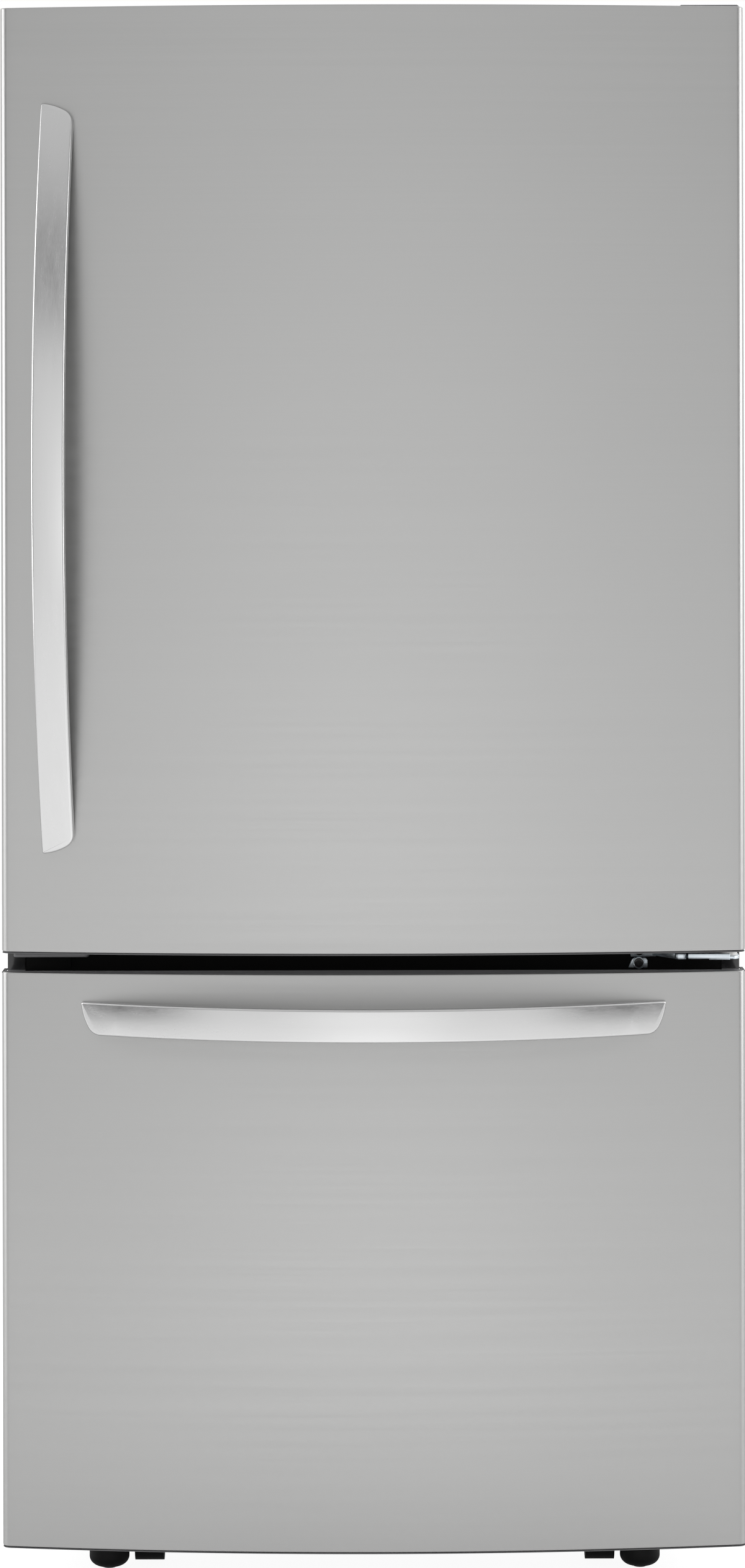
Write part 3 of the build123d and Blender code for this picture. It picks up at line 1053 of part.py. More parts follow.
def make_machine_bay():
    make_compressor()
    pan_x0 = CONDENSER_LEFT - 10
    pan_x1 = CONDENSER_RIGHT + 10
    pan_z1 = DECK + PAN_HEIGHT
    pan = block(pan_x0, pan_x1, BAY_FRONT + 12, BACK - 16, DECK, pan_z1)
    pan -= block(pan_x0 + TUB_WALL, pan_x1 - TUB_WALL, BAY_FRONT + 12 + TUB_WALL, BACK - 16 - TUB_WALL,
                 DECK + TUB_WALL, pan_z1 + 1)
    save("drain_pan", pan)
    make_condenser(pan_z1)

    cover_x = HALF - BAY_WALL + 6
    cover = block(-cover_x, cover_x, BACK, BACK + 1.5, CASE_BOTTOM + 4, BAY_TOP + 12)
    slot_width, slot_height = GRILLE_SLOT
    pitch = (2 * cover_x - 60) / GRILLE_COLUMNS
    for row in range(GRILLE_ROWS):
        z = GLAND_Z + 50 + row * (BAY_TOP - GLAND_Z - 80) / (GRILLE_ROWS - 1)
        for column in range(GRILLE_COLUMNS):
            x = (column - (GRILLE_COLUMNS - 1) / 2) * pitch
            cover -= block(x - slot_width / 2, x + slot_width / 2, BACK - 1, BACK + 3, z, z + slot_height)
    cover -= rod("y", GLAND_RADIUS, BACK - 1, BACK + 3, GLAND_X, GLAND_Z)
    save("rear_cover", cover)

    gland = rod("y", GLAND_RADIUS, BACK - 8, BACK + 2, GLAND_X, GLAND_Z)
    gland += rod("y", GLAND_RADIUS + 4, BACK - 3, BACK, GLAND_X, GLAND_Z)
    gland -= rod("y", GLAND_BORE, BACK - 10, BACK + 5, GLAND_X, GLAND_Z)
    save("cord_gland", gland)


def make_compressor():
    """Welded pot with its seam, foot plate and start relay box, on four rubber mounts."""
    x = COMPRESSOR_X
    y = BAY_MIDDLE
    r = COMPRESSOR_RADIUS
    base_z = DECK + MOUNT_HEIGHT
    seam_z = base_z + COMPRESSOR_HEIGHT * 0.45
    top = base_z + COMPRESSOR_HEIGHT
    outline = Polyline((0, base_z), (r, base_z), (r, seam_z), (r + 3, seam_z), (r + 3, seam_z + 8), (r, seam_z + 8),
                       (r, top - 36), (r - 22, top), (0, top), close=True)
    pot = Pos(x, y, 0) * revolve(Plane.XZ * make_face(outline), Axis.Z)
    pot += block(x - r - 23, x + r + 23, y - 62, y + 62, base_z, base_z + 4)
    pot += block(x - r - 26, x - r + 10, y - 26, y + 26, base_z + 30, base_z + 88)
    pot += rod("z", TUBE_RADIUS, top - 4, BAY_TOP, x - 24, y)
    save("compressor", pot)

    mounts = []
    for dx in (-r - 10, r + 10):
        for dy in (-50, 50):
            mounts.append(rod("z", MOUNT_RADIUS, DECK, base_z, x + dx, y + dy))
    save("compressor_mounts", *mounts)


def make_condenser(z0):
    """Finned block on two legs, fed from the compressor and drained through the filter drier."""
    y = BAY_MIDDLE
    z1 = BAY_TOP - 16
    left = CONDENSER_LEFT + 8
    right = CONDENSER_RIGHT - 8
    core = block(left - 6, left + 6, BAY_FRONT + 12, BACK - 16, z0, z1)
    core += block(right - 6, right + 6, BAY_FRONT + 12, BACK - 16, z0, z1)
    row_pitch = (z1 - z0 - 48) / (CONDENSER_ROWS - 1)
    for row in range(CONDENSER_ROWS):
        z = z0 + 28 + row * row_pitch
        core += block(left, right, y - 40, y + 40, z - 3, z + 3)
    fin_pitch = (right - left - 60) / (CONDENSER_FINS - 1)
    for number in range(CONDENSER_FINS):
        x = left + 30 + number * fin_pitch
        core += block(x - 0.75, x + 0.75, y - 52, y + 52, z0 + 14, z1 - 6)
    pot_side = COMPRESSOR_X + sqrt(COMPRESSOR_RADIUS**2 - OUTLET_OFFSET**2)
    outlet = rod("x", TUBE_RADIUS, pot_side - 4, left, y - OUTLET_OFFSET, DECK + DISCHARGE_HEIGHT)
    core += outlet - rod("z", COMPRESSOR_RADIUS, DECK, BAY_TOP, COMPRESSOR_X, y)
    drier_x = right + 22
    core += rod("x", TUBE_RADIUS, right, drier_x, y, z1 - 12)
    core += rod("z", DRIER_RADIUS, z1 - 90, z1 - 4, drier_x, y)
    core += rod("z", TUBE_RADIUS, z1 - 4, BAY_TOP, drier_x, y)
    save("condenser_coil", core)


def main():
    os.makedirs("parts", exist_ok=True)
    make_case()
    make_mullion()
    make_base()
    make_rollers()
    make_feet()
    make_hinges()
    make_door()
    make_drawer()
    make_crispers()
    make_shelves()
    make_ceiling()
    make_fans()
    make_evaporator()
    make_machine_bay()


main()
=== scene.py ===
"""Looks of a bottom freezer refrigerator in brushed steel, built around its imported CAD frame."""

import json
import math

import bmesh
import bpy
from mathutils import Matrix, Vector


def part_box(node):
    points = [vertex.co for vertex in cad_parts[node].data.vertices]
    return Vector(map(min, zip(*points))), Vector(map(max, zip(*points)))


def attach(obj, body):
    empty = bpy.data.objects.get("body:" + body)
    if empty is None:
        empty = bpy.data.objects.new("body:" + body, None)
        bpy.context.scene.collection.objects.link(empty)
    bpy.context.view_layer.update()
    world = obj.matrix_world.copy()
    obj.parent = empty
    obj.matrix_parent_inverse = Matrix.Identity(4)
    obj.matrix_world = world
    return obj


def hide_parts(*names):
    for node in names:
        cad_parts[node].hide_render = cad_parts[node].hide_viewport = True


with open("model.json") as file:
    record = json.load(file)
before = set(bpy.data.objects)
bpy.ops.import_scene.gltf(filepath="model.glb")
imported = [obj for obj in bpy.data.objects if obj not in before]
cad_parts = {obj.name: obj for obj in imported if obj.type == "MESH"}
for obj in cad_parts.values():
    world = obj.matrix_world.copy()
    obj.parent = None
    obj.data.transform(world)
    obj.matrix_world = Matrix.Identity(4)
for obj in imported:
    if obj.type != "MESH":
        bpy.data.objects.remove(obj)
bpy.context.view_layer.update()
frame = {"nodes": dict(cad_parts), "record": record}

bl_info = {
    "name": "Bottom Freezer Refrigerator",
    "version": (1, 0, 0),
    "blender": (4, 5, 0),
    "location": "View3D > Sidebar > Refrigerator",
    "description": "Steel fronts, bow handles, hinges, seals, screws and finishes of a refrigerator",
    "category": "Object",
}

MM = 0.001
FORWARD = (0.0, -1.0, 0.0)      # the refrigerator faces -Y
BACKWARD = (0.0, 1.0, 0.0)

# Sizes in millimetres that the panels below don't offer.
PAST = 1.0              # how far a cutter reaches past what it cuts
SIDE_FOLD = 2.6         # depth of the steel's fold at the upright corners
SHEET_GAP = 1.05        # from the steel's outer face to a cap behind it
RIM_DEPTH = 1.9         # how far a lower rim stands below the steel
SLOPE_DEPTH = 32.0      # where the slope at the drawer's rear top starts, ahead of the rear edge
SLOPE_RUN = 17.0        # depth over which it falls
SLOPE_DROP = 11.0       # and how far it falls
SIDE_LIP = 4.0          # width of the black lips on top of the drawer's sides
LIP_START = 38.0        # where they start, behind the front's nose
LIP_DROP = 1.2          # and their thickness
PIN_RADIUS = 6.0        # hinge pins
BORE_RADIUS = 6.4       # bores round them
PIN_INSET = 12.0        # from the middle hinge's right end and its front to its pin
PIN_BACK = 72.0         # from the door's nose back to its pins
NOTCH_Y = -350.0        # front wall of the recess round the top hinge
STRAP_WIDTH = 37.0      # both handles
DOOR_STRAP = 840.0      # length of the door's handle
DRAWER_STRAP = 655.0    # length of the drawer's handle
STRAP_INSET = 65.0      # from the door's side to the middle of its handle


# ================================================================ sizes and colours a user would change
class FridgeFronts(bpy.types.PropertyGroup):
    """Sizes of the bowed steel skins"""
    bulge: bpy.props.FloatProperty(
        name="Bulge", description="How far the middle of a front stands ahead of its side edges",
        default=0.032, min=0.001, unit="LENGTH")
    edge_radius: bpy.props.FloatProperty(
        name="Edge radius", description="Radius of the upright side edges",
        default=0.010, min=0.003, unit="LENGTH")
    fold_radius: bpy.props.FloatProperty(
        name="Fold radius", description="Radius where the sheet folds back at the top and the bottom",
        default=0.0014, min=0.0012, max=0.002, unit="LENGTH")
    fold_width: bpy.props.FloatProperty(
        name="Fold width", description="Depth of the level fold at the top and the bottom of a front",
        default=0.0028, min=0.0022, unit="LENGTH")
    sheet: bpy.props.FloatProperty(
        name="Sheet", description="Thickness of the steel sheet",
        default=0.001, min=0.0005, max=0.0011, unit="LENGTH")


class FridgeHandles(bpy.types.PropertyGroup):
    """Sizes of the two bow handles"""
    bow: bpy.props.FloatProperty(
        name="Bow", description="Outer face of a handle ahead of the front at mid-length",
        default=0.061, min=0.02, unit="LENGTH")
    lift: bpy.props.FloatProperty(
        name="End lift", description="Height of the outer face above the front at the handle's ends",
        default=0.0035, min=0.0, unit="LENGTH")
    thickness: bpy.props.FloatProperty(
        name="Thickness", description="Thickness of the handle strap",
        default=0.010, min=0.004, unit="LENGTH")
    edge: bpy.props.FloatProperty(
        name="Edge", description="Radius of the outer edges",
        default=0.003, min=0.0005, unit="LENGTH")
    slant: bpy.props.FloatProperty(
        name="Slant", description="How far the long edge passes the short one at each end",
        default=0.014, min=0.0, unit="LENGTH")


class FridgeFinish(bpy.types.PropertyGroup):
    """Colours of the main finishes"""
    front: bpy.props.FloatVectorProperty(
        name="Fronts", description="Colour of the brushed steel fronts", subtype="COLOR",
        size=3, default=(0.470, 0.470, 0.466), min=0.0, max=1.0)
    handle: bpy.props.FloatVectorProperty(
        name="Handles", description="Colour of the satin handles", subtype="COLOR",
        size=3, default=(0.62, 0.62, 0.62), min=0.0, max=1.0)
    case: bpy.props.FloatVectorProperty(
        name="Case", description="Colour of the painted case", subtype="COLOR",
        size=3, default=(0.135, 0.136, 0.14), min=0.0, max=1.0)
    liner: bpy.props.FloatVectorProperty(
        name="Liners", description="Colour of the moulded liners", subtype="COLOR",
        size=3, default=(0.83, 0.84, 0.84), min=0.0, max=1.0)


class FridgeStage(bpy.types.PropertyGroup):
    """Light and camera"""
    sky: bpy.props.FloatProperty(
        name="Room light", description="Strength of the even room light", default=0.8, min=0.0)
    key: bpy.props.FloatProperty(
        name="Key light", description="Power of the large soft lamp", default=70.0, min=0.0, unit="POWER")
    fill: bpy.props.FloatProperty(
        name="Fill light", description="Power of each side lamp", default=30.0, min=0.0, unit="POWER")
    distance: bpy.props.FloatProperty(
        name="Camera distance", description="Camera ahead of the fronts' side edges",
        default=4.8, min=1.0, unit="LENGTH")
    height: bpy.props.FloatProperty(
        name="Camera height", description="Camera above the floor", default=1.261, min=0.0, unit="LENGTH")


# ================================================================ mesh helpers (millimetres in, metres out)
def node_box(node):
    """Lowest and highest corner of a CAD node in millimetres."""
    low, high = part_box(node)
    return [c / MM for c in low], [c / MM for c in high]


def middle_height(node):
    """Height halfway up a CAD node in millimetres."""
    low, high = node_box(node)
    return (low[2] + high[2]) / 2


def quarter(steps):
    """Angles that divide a quarter turn, both its ends included."""
    return [math.pi / 2 * i / steps for i in range(steps + 1)]


def bow_radius(half, bulge):
    """Radius of an arc from half its width and its height."""
    return (half ** 2 + bulge ** 2) / (2 * bulge)


def loop_faces(count, size, closed=False):
    """Quads between rings of the same size, one after the other in a list of points."""
    faces = []
    for i in range(count if closed else count - 1):
        a = i * size
        b = (i + 1) % count * size
        for j in range(size):
            k = (j + 1) % size
            faces.append((a + j, b + j, b + k, a + k))
    return faces


def ring_range(ring, size):
    """Point numbers of one ring."""
    return list(range(ring * size, (ring + 1) * size))


def end_faces(count, size):
    """The two faces that close the first and the last of some rings."""
    return [tuple(ring_range(0, size)), tuple(ring_range(count - 1, size))]


def ladder_cap(numbers):
    """Quads that close a ring whose two long sides run side by side."""
    half = len(numbers) // 2
    faces = []
    for i in range(half - 1):
        a, b = numbers[i], numbers[i + 1]
        c, d = numbers[-2 - i], numbers[-1 - i]
        faces.append((a, b, c, d))
    return faces


def shade(mesh, angle):
    """Smooth shading but for edges sharper than an angle in degrees."""
    mesh.shade_smooth()
    mesh.set_sharp_from_angle(angle=math.radians(angle))


def face_outward(mesh, merge=None):
    """Turn every face outward, after merging the points that lie closer than a distance in metres."""
    form = bmesh.new()
    form.from_mesh(mesh)
    if merge:
        bmesh.ops.remove_doubles(form, verts=form.verts, dist=merge)
    bmesh.ops.recalc_face_normals(form, faces=form.faces)
    form.to_mesh(mesh)
    form.free()


def build_mesh(name, points, faces, sharp=35.0):
    """Mesh object from points in millimetres, doubles merged, faces outward, smooth but for sharp edges."""
    mesh = bpy.data.meshes.new(name)
    mesh.from_pydata([Vector(p) * MM for p in points], [], faces)
    face_outward(mesh, merge=1e-6)
    shade(mesh, sharp)
    piece = bpy.data.objects.new(name, mesh)
    bpy.context.scene.collection.objects.link(piece)
    return piece


def bake(piece):
    """Turn a piece with modifiers into a plain mesh."""
    evaluated = piece.evaluated_get(bpy.context.evaluated_depsgraph_get())
    mesh = bpy.data.meshes.new_from_object(evaluated)
    old = piece.data
    piece.modifiers.clear()
    piece.data = mesh
    bpy.data.meshes.remove(old)
    mesh.name = piece.name


def cut_box(piece, low, high):
    """Take a box between two corners in millimetres out of a piece."""
    corners = [(x, y, z) for x in (low[0], high[0]) for y in (low[1], high[1]) for z in (low[2], high[2])]
    faces = [(0, 1, 3, 2), (4, 6, 7, 5), (0, 4, 5, 1), (2, 3, 7, 6), (0, 2, 6, 4), (1, 5, 7, 3)]
    cut_with(piece, build_mesh("cutter", corners, faces))


def cut_with(piece, cutter):
    """Take a cutter's shape out of a piece and delete the cutter."""
    cut = piece.modifiers.new("Cut", "BOOLEAN")
    cut.operation = "DIFFERENCE"
    cut.solver = "EXACT"
    cut.object = cutter
    bake(piece)
    remove_piece(cutter)


def drill(piece, x, y, z0, z1):
    """Bore an upright hole for a hinge pin through a piece."""
    rod = turned([(BORE_RADIUS, z0), (BORE_RADIUS, z1)], (x, y, 0.0))
    cut_with(piece, build_mesh("cutter", *rod))


def remove_piece(piece):
    """Delete a helper object and its mesh."""
    mesh = piece.data
    bpy.data.objects.remove(piece)
    bpy.data.meshes.remove(mesh)


def round_edges(piece, width, segments=3, angle=40.0):
    """Bevel the sharp edges of a piece."""
    bevel = piece.modifiers.new("Rounded edges", "BEVEL")
    bevel.width = width * MM
    bevel.segments = segments
    bevel.limit_method = "ANGLE"
    bevel.angle_limit = math.radians(angle)
    bake(piece)
    shade(piece.data, 50.0)


def finish_piece(piece, finish, body, *replaced):
    """Give a piece its material, its body and the CAD nodes that it stands for."""
    piece.data.materials.clear()
    piece.data.materials.append(finish_material(finish))
    piece.data.polygons.foreach_set("material_index", [0] * len(piece.data.polygons))
    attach(piece, body)
    if replaced:
        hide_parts(*replaced)


def prism(outline, z0, z1):
    """Points and faces of an upright prism from a plan outline."""
    points = [(x, y, z0) for x, y in outline] + [(x, y, z1) for x, y in outline]
    return points, loop_faces(2, len(outline)) + end_faces(2, len(outline))


def join_shapes(shapes):
    """One list of points and faces from several."""
    points = []
    faces = []
    for some_points, some_faces in shapes:
        start = len(points)
        points.extend(some_points)
        faces.extend(tuple(i + start for i in face) for face in some_faces)
    return points, faces


def box_shape(low, high):
    """Points and faces of a box between two corners."""
    outline = [(low[0], low[1]), (high[0], low[1]), (high[0], high[1]), (low[0], high[1])]
    return prism(outline, low[2], high[2])


def box_pair(low, high):
    """Shapes of a box on the right, after its mirror image on the left."""
    return [box_shape((-high[0], *low[1:]), (-low[0], *high[1:])), box_shape(low, high)]


def turned(profile, centre, steps=32, hollow=False):
    """Upright solid of revolution; its profile is (radius, height), a closed ring where it is hollow."""
    points = []
    for radius, height in profile:
        for i in range(steps):
            turn = 2 * math.pi * i / steps
            points.append((centre[0] + radius * math.cos(turn), centre[1] + radius * math.sin(turn),
                           centre[2] + height))
    faces = loop_faces(len(profile), steps, closed=hollow)
    if not hollow:
        faces += end_faces(len(profile), steps)
    return points, faces


# ================================================================ geometry nodes
def new_tree(name, inputs):
    """Geometry tree with a mesh input, some named inputs and a material input."""
    tree = bpy.data.node_groups.new(name, "GeometryNodeTree")
    tree.interface.new_socket("Geometry", in_out="INPUT", socket_type="NodeSocketGeometry")
    for label, kind, default in inputs:
        socket = tree.interface.new_socket(label, in_out="INPUT", socket_type=kind)
        if default is not None:
            socket.default_value = default
    tree.interface.new_socket("Material", in_out="INPUT", socket_type="NodeSocketMaterial")
    tree.interface.new_socket("Geometry", in_out="OUTPUT", socket_type="NodeSocketGeometry")
    return tree


def new_node(tree, kind, **values):
    """A node with some of its inputs set, their names written with underscores, or linked to sockets."""
    node = tree.nodes.new(kind)
    for key, value in values.items():
        socket = node.inputs[key.replace("_", " ")]
        if isinstance(value, bpy.types.NodeSocket):
            tree.links.new(value, socket)
        else:
            socket.default_value = value
    return node


def tree_ends(tree):
    """Input node of a tree and the node at its end, which realizes instances before the material is set."""
    start = tree.nodes.new("NodeGroupInput")
    realize = tree.nodes.new("GeometryNodeRealizeInstances")
    paint = new_node(tree, "GeometryNodeSetMaterial", Geometry=realize.outputs[0],
                     Material=start.outputs["Material"])
    new_node(tree, "NodeGroupOutput", Geometry=paint.outputs[0])
    return start, realize


def math_node(tree, operation, *values):
    """One math node; a value is a number or a socket."""
    node = tree.nodes.new("ShaderNodeMath")
    node.operation = operation
    for socket, value in zip(node.inputs, values):
        if isinstance(value, (int, float)):
            socket.default_value = value
        else:
            tree.links.new(value, socket)
    return node.outputs[0]


def plus(tree, first, second):
    """Sum of two numbers or sockets."""
    return math_node(tree, "ADD", first, second)


def minus(tree, first, second):
    """What is left of the first after the second is taken off."""
    return math_node(tree, "SUBTRACT", first, second)


def times(tree, first, second):
    """Product of two numbers or sockets."""
    return math_node(tree, "MULTIPLY", first, second)


def largest(tree, first, second):
    """The larger of two numbers or sockets."""
    return math_node(tree, "MAXIMUM", first, second)


def fade(tree, value, start, stop, low, high):
    """Number that changes smoothly from low to high while a value goes from start to stop."""
    node = new_node(tree, "ShaderNodeMapRange", Value=value, From_Min=start, From_Max=stop,
                    To_Min=low, To_Max=high)
    node.interpolation_type = "SMOOTHSTEP"
    return node.outputs[0]


def separate(tree, vector):
    """The three numbers of a vector."""
    return new_node(tree, "ShaderNodeSeparateXYZ", Vector=vector).outputs


def run_tree(piece, tree, values):
    """Put a tree on a piece with its inputs set by identifier, then bake it."""
    modifier = piece.modifiers.new(tree.name, "NODES")
    modifier.node_group = tree
    for item in tree.interface.items_tree:
        if item.item_type == "SOCKET" and item.in_out == "INPUT" and item.name in values:
            modifier[item.identifier] = values[item.name]
    bake(piece)


def bow_tree():
    """Tree that bends a flat strap lying along X to an arc; the arc's height is measured on Z."""
    tree = new_tree("Bow Strap", [("Half Length", "NodeSocketFloat", 0.4), ("Bow", "NodeSocketFloat", 0.06),
                                  ("Lift", "NodeSocketFloat", 0.0)])
    start, realize = tree_ends(tree)
    along, across, depth = separate(tree, tree.nodes.new("GeometryNodeInputPosition").outputs[0])
    half = start.outputs["Half Length"]
    bow = start.outputs["Bow"]
    squares = plus(tree, times(tree, half, half), times(tree, bow, bow))
    radius = math_node(tree, "DIVIDE", squares, times(tree, bow, 2.0))
    sine = math_node(tree, "DIVIDE", along, radius)
    cosine = math_node(tree, "SQRT", minus(tree, 1.0, times(tree, sine, sine)))
    rise = times(tree, minus(tree, cosine, 1.0), radius)
    top = plus(tree, plus(tree, bow, rise), start.outputs["Lift"])
    new_along = minus(tree, along, times(tree, sine, depth))
    new_height = minus(tree, top, times(tree, cosine, depth))
    join = new_node(tree, "ShaderNodeCombineXYZ", X=new_along, Y=across, Z=new_height)
    bend = new_node(tree, "GeometryNodeSetPosition", Geometry=start.outputs["Geometry"],
                    Position=join.outputs[0])
    tree.links.new(bend.outputs[0], realize.inputs[0])
    return tree


def copies_tree():
    """Tree that sets a copy of one part on every point, its Z along the point's facing, sized by its size."""
    tree = new_tree("Set On Points", [("Part", "NodeSocketObject", None), ("Size", "NodeSocketFloat", 1.0)])
    start, realize = tree_ends(tree)
    facing = new_node(tree, "GeometryNodeInputNamedAttribute", Name="facing")
    facing.data_type = "FLOAT_VECTOR"
    own_size = new_node(tree, "GeometryNodeInputNamedAttribute", Name="own_size")
    own_size.data_type = "FLOAT"
    turn = new_node(tree, "FunctionNodeAlignRotationToVector", Vector=facing.outputs["Attribute"])
    turn.axis = "Z"
    part = new_node(tree, "GeometryNodeObjectInfo", Object=start.outputs["Part"])
    size = times(tree, start.outputs["Size"], own_size.outputs["Attribute"])
    copies = new_node(tree, "GeometryNodeInstanceOnPoints", Points=start.outputs["Geometry"],
                      Instance=part.outputs["Geometry"], Rotation=turn.outputs[0], Scale=size)
    tree.links.new(copies.outputs[0], realize.inputs[0])
    return tree


def set_on_points(name, part, places, finish, body):
    """Copies of a part at places (x, y, z, facing, size), as one plain piece on one body."""
    mesh = bpy.data.meshes.new(name)
    mesh.from_pydata([Vector(p[:3]) * MM for p in places], [], [])
    for key, kind in (("facing", "FLOAT_VECTOR"), ("own_size", "FLOAT")):
        mesh.attributes.new(key, kind, "POINT")
    for i, place in enumerate(places):
        mesh.attributes["facing"].data[i].vector = place[3]
        mesh.attributes["own_size"].data[i].value = place[4]
    piece = bpy.data.objects.new(name, mesh)
    bpy.context.scene.collection.objects.link(piece)
    tree = bpy.data.node_groups.get("Set On Points") or copies_tree()
    run_tree(piece, tree, {"Part": part, "Size": 1.0, "Material": finish_material(finish)})
    finish_piece(piece, finish, body)


# ================================================================ materials
class Finish:
    """One procedural material: a Principled shader and the nodes that vary it over the surface."""
    MIDDLE = (0.3, 0.7)

    def __init__(self, name, colour, roughness, metallic=0.0, **sockets):
        self.material = bpy.data.materials.new(name)
        self.material.use_nodes = True
        self.tree = self.material.node_tree
        self.colour = colour
        self.roughness = roughness
        self.shader = self.tree.nodes["Principled BSDF"]
        self.set("Base Color", (*colour, 1.0))
        self.set("Roughness", roughness)
        self.set("Metallic", metallic)
        for socket, value in sockets.items():
            self.set(socket.replace("_", " "), value)
        self.place = self.tree.nodes.new("ShaderNodeTexCoord")

    def set(self, socket, value):
        self.shader.inputs[socket].default_value = value

    def noise(self, scale, stretch=(1.0, 1.0, 1.0), detail=2.0, rough=0.5):
        """Noise on Object coordinates; scale is in cycles per metre, stretch turns it into lines."""
        mapping = new_node(self.tree, "ShaderNodeMapping", Vector=self.place.outputs["Object"], Scale=stretch)
        noise = new_node(self.tree, "ShaderNodeTexNoise", Vector=mapping.outputs[0], Scale=scale,
                         Detail=detail, Roughness=rough)
        return noise.outputs["Fac"]

    def cells(self, scale):
        """Voronoi cells on Object coordinates."""
        return new_node(self.tree, "ShaderNodeTexVoronoi", Vector=self.place.outputs["Object"], Scale=scale)

    def add(self, first, second, share=0.5):
        """Mix of two patterns."""
        return plus(self.tree, times(self.tree, first, 1.0 - share), times(self.tree, second, share))

    def vary_colour(self, pattern, amount):
        """Colour from darker to lighter by a share, over the pattern's middle range."""
        ramp = self.tree.nodes.new("ShaderNodeValToRGB")
        for stop, place, share in zip(ramp.color_ramp.elements, self.MIDDLE, (1.0 - amount, 1.0 + amount)):
            stop.position = place
            stop.color = (*(min(1.0, c * share) for c in self.colour), 1.0)
        self.tree.links.new(pattern, ramp.inputs[0])
        self.tree.links.new(ramp.outputs[0], self.shader.inputs["Base Color"])

    def vary_roughness(self, pattern, amount):
        """Roughness from smoother to rougher by an amount, over the pattern's middle range."""
        low, high = self.MIDDLE
        node = new_node(self.tree, "ShaderNodeMapRange", Value=pattern, From_Min=low, From_Max=high,
                        To_Min=self.roughness - amount, To_Max=self.roughness + amount)
        self.tree.links.new(node.outputs[0], self.shader.inputs["Roughness"])

    def bump(self, pattern, height, strength=1.0):
        """Bump of a real height in metres."""
        bump = new_node(self.tree, "ShaderNodeBump", Height=pattern, Distance=height, Strength=strength)
        self.tree.links.new(bump.outputs[0], self.shader.inputs["Normal"])


def brushed(name, colour, roughness, lines, turn=0.0, amount=0.03, wear=0.02, anisotropic=0.55):
    """Brushed steel; lines is the stretch that draws the pattern out along the brushing."""
    finish = Finish(name, colour, roughness, 1.0, Anisotropic=anisotropic, Anisotropic_Rotation=turn)
    fine = finish.noise(1.0, tuple(900.0 * s for s in lines), 3.0, 0.6)
    coarse = finish.noise(1.0, tuple(160.0 * s for s in lines), 2.0, 0.5)
    cloud = finish.noise(2.2, (1.0, 1.0, 1.0), 2.0, 0.5)
    streaks = finish.add(fine, coarse, 0.45)
    finish.vary_colour(finish.add(streaks, cloud, wear * 10), amount)
    finish.vary_roughness(streaks, 0.05)
    finish.bump(fine, 0.000015, 0.35)
    return finish


def painted(name, colour, roughness, grain=900.0, height=0.00004, amount=0.04, coat=0.0):
    """Powder or stove paint with orange peel."""
    finish = Finish(name, colour, roughness, 0.0, Coat_Weight=coat)
    peel = finish.noise(grain, detail=2.0)
    cloud = finish.noise(6.0, detail=3.0)
    finish.vary_colour(finish.add(peel, cloud, 0.5), amount)
    finish.vary_roughness(cloud, 0.05)
    finish.bump(peel, height, 0.5)
    return finish


def plated(name, colour, roughness, cell, amount, change=0.08):
    """Zinc coated or plated metal with its crystal pattern."""
    finish = Finish(name, colour, roughness, 1.0)
    flower = new_node(finish.tree, "ShaderNodeSeparateColor", Color=finish.cells(cell).outputs["Color"])
    grain = finish.noise(700.0, detail=3.0)
    mix = finish.add(flower.outputs[0], grain, 0.4)
    finish.vary_colour(mix, amount)
    finish.vary_roughness(mix, change)
    finish.bump(grain, 0.00003, 0.3)
    return finish


def moulded(name, colour, roughness, grain=1400.0, height=0.00003, amount=0.03, **sockets):
    """Moulded plastic or rubber with a fine eroded grain and a soft tone change."""
    finish = Finish(name, colour, roughness, 0.0, **sockets)
    grain_fac = finish.noise(grain, detail=3.0, rough=0.6)
    cloud = finish.noise(9.0, detail=2.0)
    finish.vary_colour(finish.add(grain_fac, cloud, 0.6), amount)
    finish.vary_roughness(finish.add(grain_fac, cloud, 0.4), 0.05)
    finish.bump(grain_fac, height, 0.4)
    return finish


def foamed(name, colour, roughness):
    """Rigid foam with open cells."""
    finish = Finish(name, colour, roughness)
    cells = finish.cells(420.0).outputs["Distance"]
    cloud = finish.noise(14.0, detail=4.0)
    finish.vary_colour(finish.add(cells, cloud, 0.6), 0.16)
    finish.bump(cells, 0.0004, 0.7)
    return finish


def see_through(name, colour, roughness, ior, weight):
    """Clear moulded plastic or glass with faint flow marks."""
    finish = Finish(name, colour, roughness, Transmission_Weight=weight, IOR=ior)
    flow = finish.noise(7.0, (1.0, 1.0, 0.4), 3.0)
    finish.vary_colour(flow, 0.015)
    finish.vary_roughness(flow, 0.015)
    finish.bump(flow, 0.0003, 0.15)
    return finish


